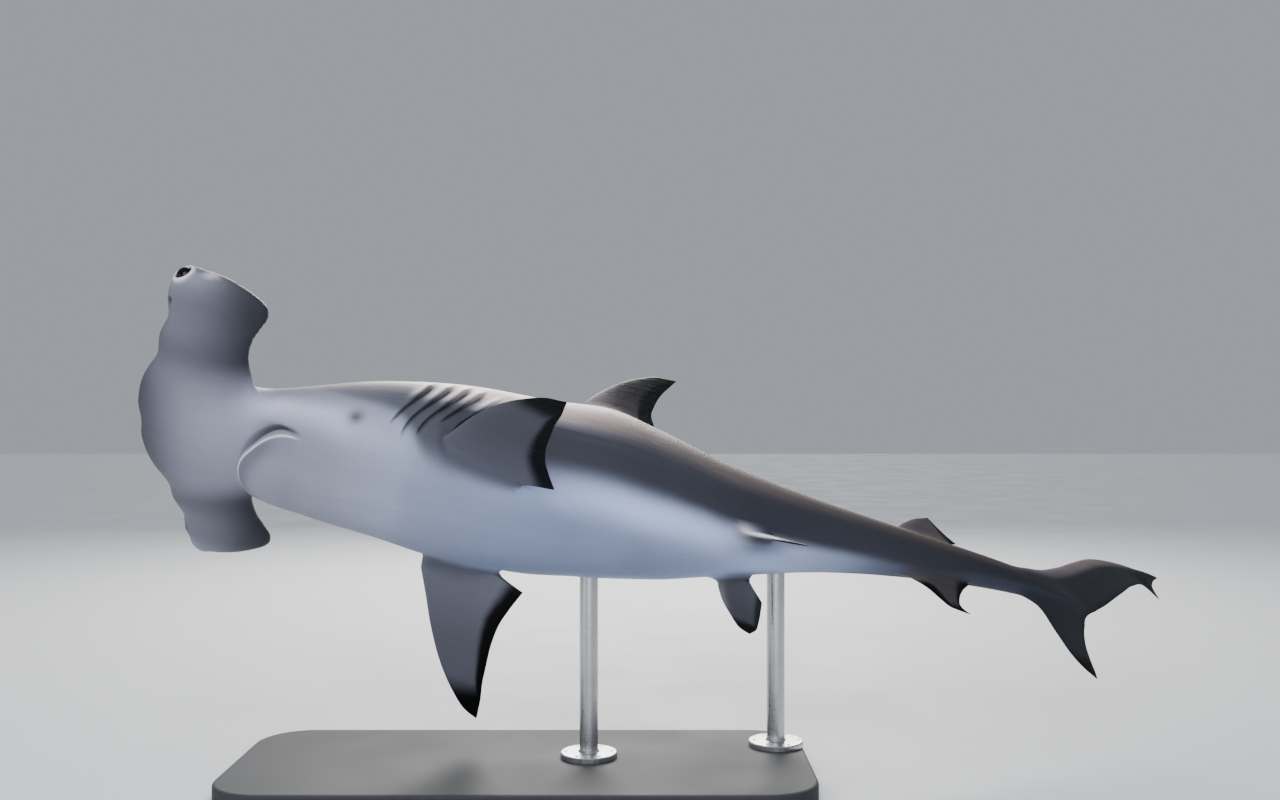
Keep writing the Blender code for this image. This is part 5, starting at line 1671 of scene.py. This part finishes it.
@dataclass
class Skin:
    """All flesh as one closed mesh with soft joins between body and fins."""

    spine: Spine = field(default_factory=Spine)
    body: Body = field(default_factory=Body)
    fair_rounds: int = 60
    dense_rounds: int = 90  # more, where the triangles are small
    dense_edge: float = 0.004  # m
    pull: float = 0.5  # of a point towards its neighbours' middle in each round
    seam_gap: float = 0.00001  # m from every shell's points, past which a point lies on a seam
    merge_reach: float = 0.004  # m from the seams within which slivers are merged
    sliver: float = 0.0009  # m
    least_edge: float = 0.00001  # m
    band_span: tuple = (0.15, 1.0)  # half widths of a join between which its rounding ends
    mark_range: tuple = (-0.5, 1.5)
    # station where a kind of soft join starts, and its half width in metres
    band: Profile = Profile(
        (0.2, 0.255, 0.285, 0.315, 0.335, 0.372, 0.392, 0.43, 0.445, 0.47, 0.487, 0.55, 0.6, 0.7, 0.8),
        (0.034, 0.034, 0.01, 0.01, 0.03, 0.028, 0.01, 0.01, 0.02, 0.018, 0.008, 0.01, 0.014, 0.014, 0.022))

    def shells(self) -> tuple[Shell, list[Shell]]:
        """The body's shell, and those of all the fins."""
        head = Head(self.body)
        trunk = Trunk(self.body)
        body = join_head(head.build(), trunk.build(), trunk.count, float(self.body.widest(head.end)))
        fins = [fin.mirrored(side).build() for fin in (PECTORAL, PELVIC) for side in Side]
        fins += [fin.build() for fin in (FIRST_DORSAL, SECOND_DORSAL, ANAL, LOWER_LOBE)]
        return body, fins + [UpperLobe(self.body).build()]

    def unite(self, body: Shell, fins: list[Shell]) -> Mesh:
        """One closed mesh of all the shells, still in the straight layout, in metres."""
        item = add_object("layout_body", mesh_from("layout_body", body.points * UNIT, body.triangles))
        for fin in fins:
            other = add_object("layout_fin", mesh_from("layout_fin", fin.points * UNIT, fin.triangles))
            join = item.modifiers.new("join", "BOOLEAN")
            join.operation, join.solver, join.object = "UNION", "MANIFOLD", other
            joined = bpy.data.meshes.new_from_object(item.evaluated_get(bpy.context.evaluated_depsgraph_get()))
            item.modifiers.clear()
            item.data = joined
            bpy.data.objects.remove(other)
        mesh = item.data
        bpy.data.objects.remove(item)
        return mesh

    def clean(self, mesh: Mesh, seams: kdtree.KDTree) -> None:
        """Merge the slivers that the union left near its seams."""
        close = nearest(seams, mesh_points(mesh))[1] < self.merge_reach
        work = bmesh.new()
        work.from_mesh(mesh)
        work.verts.ensure_lookup_table()
        bmesh.ops.remove_doubles(work, verts=[work.verts[i] for i in np.flatnonzero(close)], dist=self.sliver)
        bmesh.ops.dissolve_degenerate(work, dist=self.least_edge, edges=work.edges[:])
        bmesh.ops.triangulate(work, faces=work.faces[:])
        work.to_mesh(mesh)
        work.free()

    def fair(self, mesh: Mesh, sources: kdtree.KDTree, held: Array) -> None:
        """Round the joins that the union made, and keep where and how much for the marks.

        Args:
            mesh: The united mesh, which is changed.
            sources: A tree of the points that the shells had before.
            held: 1 at those of them that stay as they are.
        """
        points = mesh_points(mesh)
        seams = tree_of(points[nearest(sources, points)[1] > self.seam_gap])
        self.clean(mesh, seams)
        points = mesh_points(mesh)
        away = nearest(seams, points)[1] / self.band(points[:, 0] / UNIT)
        weight = (1 - smoothstep(*self.band_span, away)) * (1 - held[nearest(sources, points)[0]])
        pairs = np.empty(len(mesh.edges) * 2, dtype=np.int64)
        mesh.edges.foreach_get("vertices", pairs)
        pairs = pairs.reshape(-1, 2)
        pairs = pairs[weight[pairs].max(1) > 0]
        start, end = np.concatenate([pairs, pairs[:, ::-1]]).T
        count = np.maximum(np.bincount(start, minlength=len(points)), 1)
        length = np.bincount(start, np.linalg.norm(points[start] - points[end], axis=1), len(points)) / count
        dense = weight * (length < self.dense_edge)
        for strength in [weight] * self.fair_rounds + [dense] * self.dense_rounds:
            mean = np.stack([np.bincount(start, points[end, k], len(points)) for k in range(3)], 1) / count[:, None]
            points = points + (self.pull * strength)[:, None] * (mean - points)
        mesh.vertices.foreach_set("co", points.ravel())
        mesh.update()
        self.pairs, self.count, self.weight = (start, end), count, weight

    def even_out(self, values: Array) -> Array:
        """Spread a mark softly over the joins."""
        start, end = self.pairs
        for _ in range(self.fair_rounds // 2):
            mean = np.bincount(start, values[end], len(values)) / self.count
            values = values + self.pull * self.weight * (mean - values)
        return values

    def mark(self, mesh: Mesh, shells: list[Shell], sources: kdtree.KDTree) -> None:
        """Store the marks and the layout's places on the mesh.

        Args:
            mesh: The faired mesh, still in the straight layout.
            shells: The body's shell and those of the fins.
            sources: A tree of their points.
        """
        points = mesh_points(mesh)
        normal = np.empty(len(points) * 3, dtype=np.float32)
        mesh.vertex_normals.foreach_get("vector", normal)
        near, _ = nearest(sources, points)
        along, chord, face, crease = (np.concatenate([getattr(s, name) for s in shells])[near]
                                      for name in ("along", "chord", "face", "crease"))
        region = np.concatenate([np.full(len(s.points), s.region.value) for s in shells])[near]
        on_fins = FinMarkings().marks(region, along, chord, face, points / UNIT)
        for name, values in Markings(self.body).marks(points / UNIT, normal.reshape(-1, 3)).items():
            mixed = np.where(region > Region.BODY.value, on_fins[name], values)
            store(mesh, name, np.clip(self.even_out(mixed), *self.mark_range))
        store(mesh, "crease", crease)
        store(mesh, "layout", points)

    def build(self, finish: SkinFinish, mottle: Group) -> Object:
        """The whole skin in the part's frame, marked and dressed."""
        body, fins = self.shells()
        shells = [body] + fins
        log.info("skin: %d shells, %d triangles", len(shells), sum(len(s.triangles) for s in shells))
        mesh = self.unite(body, fins)
        sources = tree_of(np.concatenate([s.points for s in shells]) * UNIT)
        self.fair(mesh, sources, np.concatenate([s.held for s in shells]))
        self.mark(mesh, shells, sources)
        mesh.vertices.foreach_set("co", self.spine.place(mesh_points(mesh) / UNIT).ravel())
        mesh.name = "skin_one_piece"
        mesh.shade_smooth()
        mesh.update()
        mesh.materials.clear()
        mesh.materials.append(finish.material(mottle))
        mesh.polygons.foreach_set("material_index", np.zeros(len(mesh.polygons), dtype=np.int32))
        log.info("skin: %d triangles", len(mesh.polygons))
        return add_object("skin_one_piece", mesh)


# ---- eyes ----
@dataclass
class EyeBall:
    """A polished ball in each socket."""

    eye: Eye
    segments: int = 56
    rings: int = 36

    def build(self, spine: Spine, finish: Material) -> Object:
        """The ball as a mesh in the part's frame."""
        centre, directions = self.eye.axes()
        polar = np.arange(1, self.rings) * math.pi / self.rings
        around = np.arange(self.segments) * 2 * math.pi / self.segments
        local = [np.stack([np.full(self.segments, math.cos(a)), math.sin(a) * np.cos(around),
                           math.sin(a) * np.sin(around)], 1) for a in polar]
        points = np.concatenate(local + [[(1.0, 0, 0)], [(-1.0, 0, 0)]])
        count = len(local) * self.segments
        first, last = np.arange(self.segments), np.arange(self.segments) + count - self.segments
        triangles = np.concatenate([loft_triangles(len(local), self.segments), cap(first, count, True),
                                    cap(last, count + 1, False)])
        turn = np.arccos(np.clip(points[:, 0], -1, 1)) / (math.pi / 2)
        layout = centre + points @ directions * self.eye.radius / UNIT
        name = f"eye_ball_{self.eye.side.name.lower()}"
        mesh = mesh_from(name, spine.place(layout), triangles)
        store(mesh, "turn", turn)
        store(mesh, "layout", layout * UNIT)
        mesh.shade_smooth()
        mesh.materials.append(finish)
        return add_object(name, mesh)


# ---- stand ----
@dataclass
class Stand:
    """The base and rods of the frame with their finishes, and the screws that hold the rods down."""

    rods: tuple = ("stand_rod_front", "stand_rod_rear")
    flange_slice: float = 0.004  # m above the rod's lowest point, to measure the flange
    flange_height: float = 0.0105  # m, more than its thickness
    screws: int = 6
    screw_radius: float = 0.0042
    screw_height: float = 0.0024
    screw_faces: tuple = (24, 12)  # round it, and from pole to pole
    hexagon: tuple = (0.42, 0.55)  # radius and depth, as shares of the screw's radius
    inset: float = 0.011  # m, from the flange's rim to the screws' circle
    sunk: float = 0.0008
    seed: int = 3
    sharp: float = 35.0  # degrees between faces from which an edge stays sharp

    def screw_tree(self, finish: Material) -> bpy.types.GeometryNodeTree:
        """Geometry nodes that set domed screws with a hexagon socket on a circle."""
        group = Group("ring_of_screws", (("Centre", "Vector", None), ("Circle Radius", "Float", 0.04),
                                         ("Screw Radius", "Float", 0.004), ("Screw Height", "Float", 0.002),
                                         ("Count", "Int", 6), ("Seed", "Int", 3)),
                      (("Geometry", "Geometry"),), "GeometryNodeTree")
        wire, enter = Wiring(group.tree), group.enter
        radius, height = enter["Screw Radius"], enter["Screw Height"]
        circle = wire.node("GeometryNodeMeshCircle", Vertices=enter["Count"], Radius=enter["Circle Radius"])
        circle.fill_type = "NONE"
        moved = wire.node("GeometryNodeTransform", Geometry=circle.outputs["Mesh"], Translation=enter["Centre"])
        segments, rings = self.screw_faces
        ball = wire.node("GeometryNodeMeshUVSphere", Segments=segments, Rings=rings)
        size = wire.node("ShaderNodeCombineXYZ", X=radius, Y=radius, Z=height)
        dome = wire.node("GeometryNodeTransform", Geometry=ball.outputs["Mesh"], Scale=size.outputs[0])
        wide, deep = (wire.math("MULTIPLY", radius, share) for share in self.hexagon)
        hexagon = wire.node("GeometryNodeMeshCylinder", Vertices=6, Radius=wide, Depth=deep)
        lift = wire.node("ShaderNodeCombineXYZ", Z=height)
        raised = wire.node("GeometryNodeTransform", Geometry=hexagon.outputs["Mesh"], Translation=lift.outputs[0])
        socketed = wire.node("GeometryNodeMeshBoolean")
        socketed.operation = "DIFFERENCE"
        wire.fill(socketed, Mesh_1=dome.outputs["Geometry"], Mesh_2=raised.outputs["Geometry"])
        turned = wire.node("FunctionNodeRandomValue")
        turned.data_type = "FLOAT_VECTOR"
        wire.fill(turned, Min=(0, 0, 0), Max=(0, 0, 2 * math.pi), Seed=enter["Seed"])
        placed = wire.node("GeometryNodeInstanceOnPoints", Points=moved.outputs["Geometry"],
                           Instance=socketed.outputs["Mesh"], Rotation=turned.outputs["Value"])
        real = wire.node("GeometryNodeRealizeInstances", Geometry=placed.outputs["Instances"])
        dressed = wire.node("GeometryNodeSetMaterial", Geometry=real.outputs["Geometry"], Material=finish)
        wire.put(group.leave["Geometry"], dressed.outputs["Geometry"])
        return group.tree

    def ring(self, number: int, rod: str, tree: bpy.types.GeometryNodeTree) -> Object:
        """The screws on one rod's flange, as a plain mesh.

        Args:
            number: The rod's number, which also varies how the screws are turned.
            rod: Its node.
            tree: The geometry nodes.
        """
        low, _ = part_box(rod)
        points = mesh_points(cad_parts[rod].data)
        flange = points[points[:, 2] < low[2] + self.flange_slice]
        centre = (flange.min(0) + flange.max(0)) / 2
        radius = (flange[:, 0].max() - flange[:, 0].min()) / 2
        level = points[points[:, 2] < low[2] + self.flange_height][:, 2].max()
        item = add_object(f"flange_screws_{number + 1}", bpy.data.meshes.new("flange_screws"))
        nodes = item.modifiers.new("screws", "NODES")
        nodes.node_group = tree
        given = {"Centre": (centre[0], centre[1], level - self.sunk), "Circle Radius": radius - self.inset,
                 "Screw Radius": self.screw_radius, "Screw Height": self.screw_height, "Count": self.screws,
                 "Seed": self.seed + number}
        for socket in tree.interface.items_tree:
            if socket.in_out == "INPUT":
                nodes[socket.identifier] = given[socket.name]
        mesh = bpy.data.meshes.new_from_object(item.evaluated_get(bpy.context.evaluated_depsgraph_get()))
        item.modifiers.clear()
        item.data = mesh
        mesh.set_sharp_from_angle(angle=math.radians(self.sharp))
        return item

    def build(self, paint: PaintFinish, rod: SteelFinish, screw: SteelFinish, mottle: Group) -> list[Object]:
        """Dress the base and rods, and make the screws of each flange."""
        _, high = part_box("stand_base")
        self.dress("stand_base", paint.material(mottle, (high[0], high[1]), high[2]))
        steel = rod.material(mottle)
        tree = self.screw_tree(screw.material(mottle))
        for name in self.rods:
            self.dress(name, steel)
        return [self.ring(number, name, tree) for number, name in enumerate(self.rods)]

    def dress(self, node: str, material: Material) -> None:
        """Give a CAD node its finish through its own material slots."""
        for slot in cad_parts[node].material_slots:
            slot.link = "OBJECT"
            slot.material = material


# ---- studio ----
@dataclass
class Studio:
    """Pale floor, soft lights and the camera."""

    floor_colour: tuple = (0.55, 0.57, 0.6)
    floor_roughness: tuple = (0.75, 0.68, 0.82)  # where nothing varies it, and its least and most
    floor_cloud: tuple = (3.0, 0.3, 0.7)  # scale, and the noise's span
    floor_size: float = 30.0
    floor_drop: float = 0.001
    sky: tuple = (0.78, 0.84, 0.92)
    sky_strength: float = 0.46
    sun: tuple = (1.6, 35.0, 32.0)  # strength, degrees across and degrees above the floor, from behind
    camera_place: tuple = (0.225, -2.51, 0.72)
    camera_turn: float = 90.0  # degrees from straight down, so level
    lens: tuple = (36.0, 36.77)  # the sensor's width and the focal length in mm
    target: tuple = (0.2, 0.0, 0.6)
    # name, place, power in watts, size in metres, colour
    lights: tuple = (
        ("behind_above", (0.1, 3.4, 2.7), 300.0, 2.2, (1.0, 0.95, 0.88)),
        ("front_fill", (-0.6, -3.4, 3.0), 120.0, 2.4, (0.97, 0.97, 1.0)),
        ("low_front", (0.5, -3.0, 0.3), 20.0, 1.8, (0.95, 0.97, 1.0)),
        ("low_left", (-2.8, -1.6, 0.9), 16.0, 1.6, (0.85, 0.92, 1.0)))

    def floor(self) -> Object:
        """The floor, with a faint unevenness."""
        half, level = self.floor_size / 2, -self.floor_drop
        mesh = bpy.data.meshes.new("floor")
        mesh.from_pydata([(x * half, y * half, level) for x, y in ((-1, -1), (1, -1), (1, 1), (-1, 1))], [],
                         [(0, 1, 2, 3)])
        plain, least, most = self.floor_roughness
        material, wire, shader = new_material("floor_paint", self.floor_colour, plain)
        scale, low, high = self.floor_cloud
        wire.put(shader["Roughness"], wire.ramp(wire.noise(wire.object_place(), scale), low, high, least, most))
        mesh.materials.append(material)
        return add_object("floor", mesh)

    def light_up(self) -> None:
        """Set the sky, the sun and the soft lamps, which face the target."""
        world = bpy.data.worlds.new("soft_sky")
        world.use_nodes = True
        Wiring(world.node_tree).fill(world.node_tree.nodes["Background"], Color=(*self.sky, 1),
                                     Strength=self.sky_strength)
        bpy.context.scene.world = world
        strength, across, above = self.sun
        lamp = bpy.data.lights.new("soft_sun", "SUN")
        lamp.energy, lamp.angle = strength, math.radians(across)
        add_object("soft_sun", lamp).rotation_euler = (math.radians(above - 90), 0, 0)
        for name, place, power, size, colour in self.lights:
            lamp = bpy.data.lights.new(name, "AREA")
            lamp.energy, lamp.size, lamp.color = power, size, colour
            item = add_object(name, lamp)
            item.location = place
            item.rotation_euler = (Vector(self.target) - Vector(place)).to_track_quat("-Z", "Y").to_euler()
            item.visible_camera = False

    def build(self) -> None:
        """Set the floor, lights and camera."""
        self.floor()
        self.light_up()
        view = bpy.data.cameras.new("camera")
        view.sensor_width, view.lens = self.lens
        camera = add_object("camera", view)
        camera.location = self.camera_place
        camera.rotation_euler = (math.radians(self.camera_turn), 0, 0)
        bpy.context.scene.camera = camera


FLESH = ("head", "lower_jaw", "throat_and_gills", "torso", "trunk", "tail_stem", "pectoral_fin_left",
         "pectoral_fin_right", "pelvic_fin_left", "pelvic_fin_right", "first_dorsal_fin", "second_dorsal_fin",
         "anal_fin", "caudal_fin_upper", "caudal_fin_lower")


def main() -> None:
    """Build the skin, eyes, stand and studio in order."""
    logging.basicConfig(level=logging.INFO, format="%(name)s: %(message)s")
    mottle = mottle_group()
    maker = Skin()
    skin = maker.build(SkinFinish(), mottle)
    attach(skin, "root")
    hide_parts(*FLESH)
    wet = EyeFinish().material(mottle)
    for side in Side:
        ball = EyeBall(Eye(side)).build(maker.spine, wet)
        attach(ball, "root")
        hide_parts(f"eye_{side.name.lower()}")
        log.info("eye: %s", ball.name)
    screws = Stand().build(PaintFinish(), SteelFinish(), SteelFinish("screw_steel", brushing=(300.0, 300.0, 300.0)),
                           mottle)
    for item in screws:
        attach(item, "root")
        log.info("screws: %s", item.name)
    Studio().build()


if __name__ == "__main__":
    main()
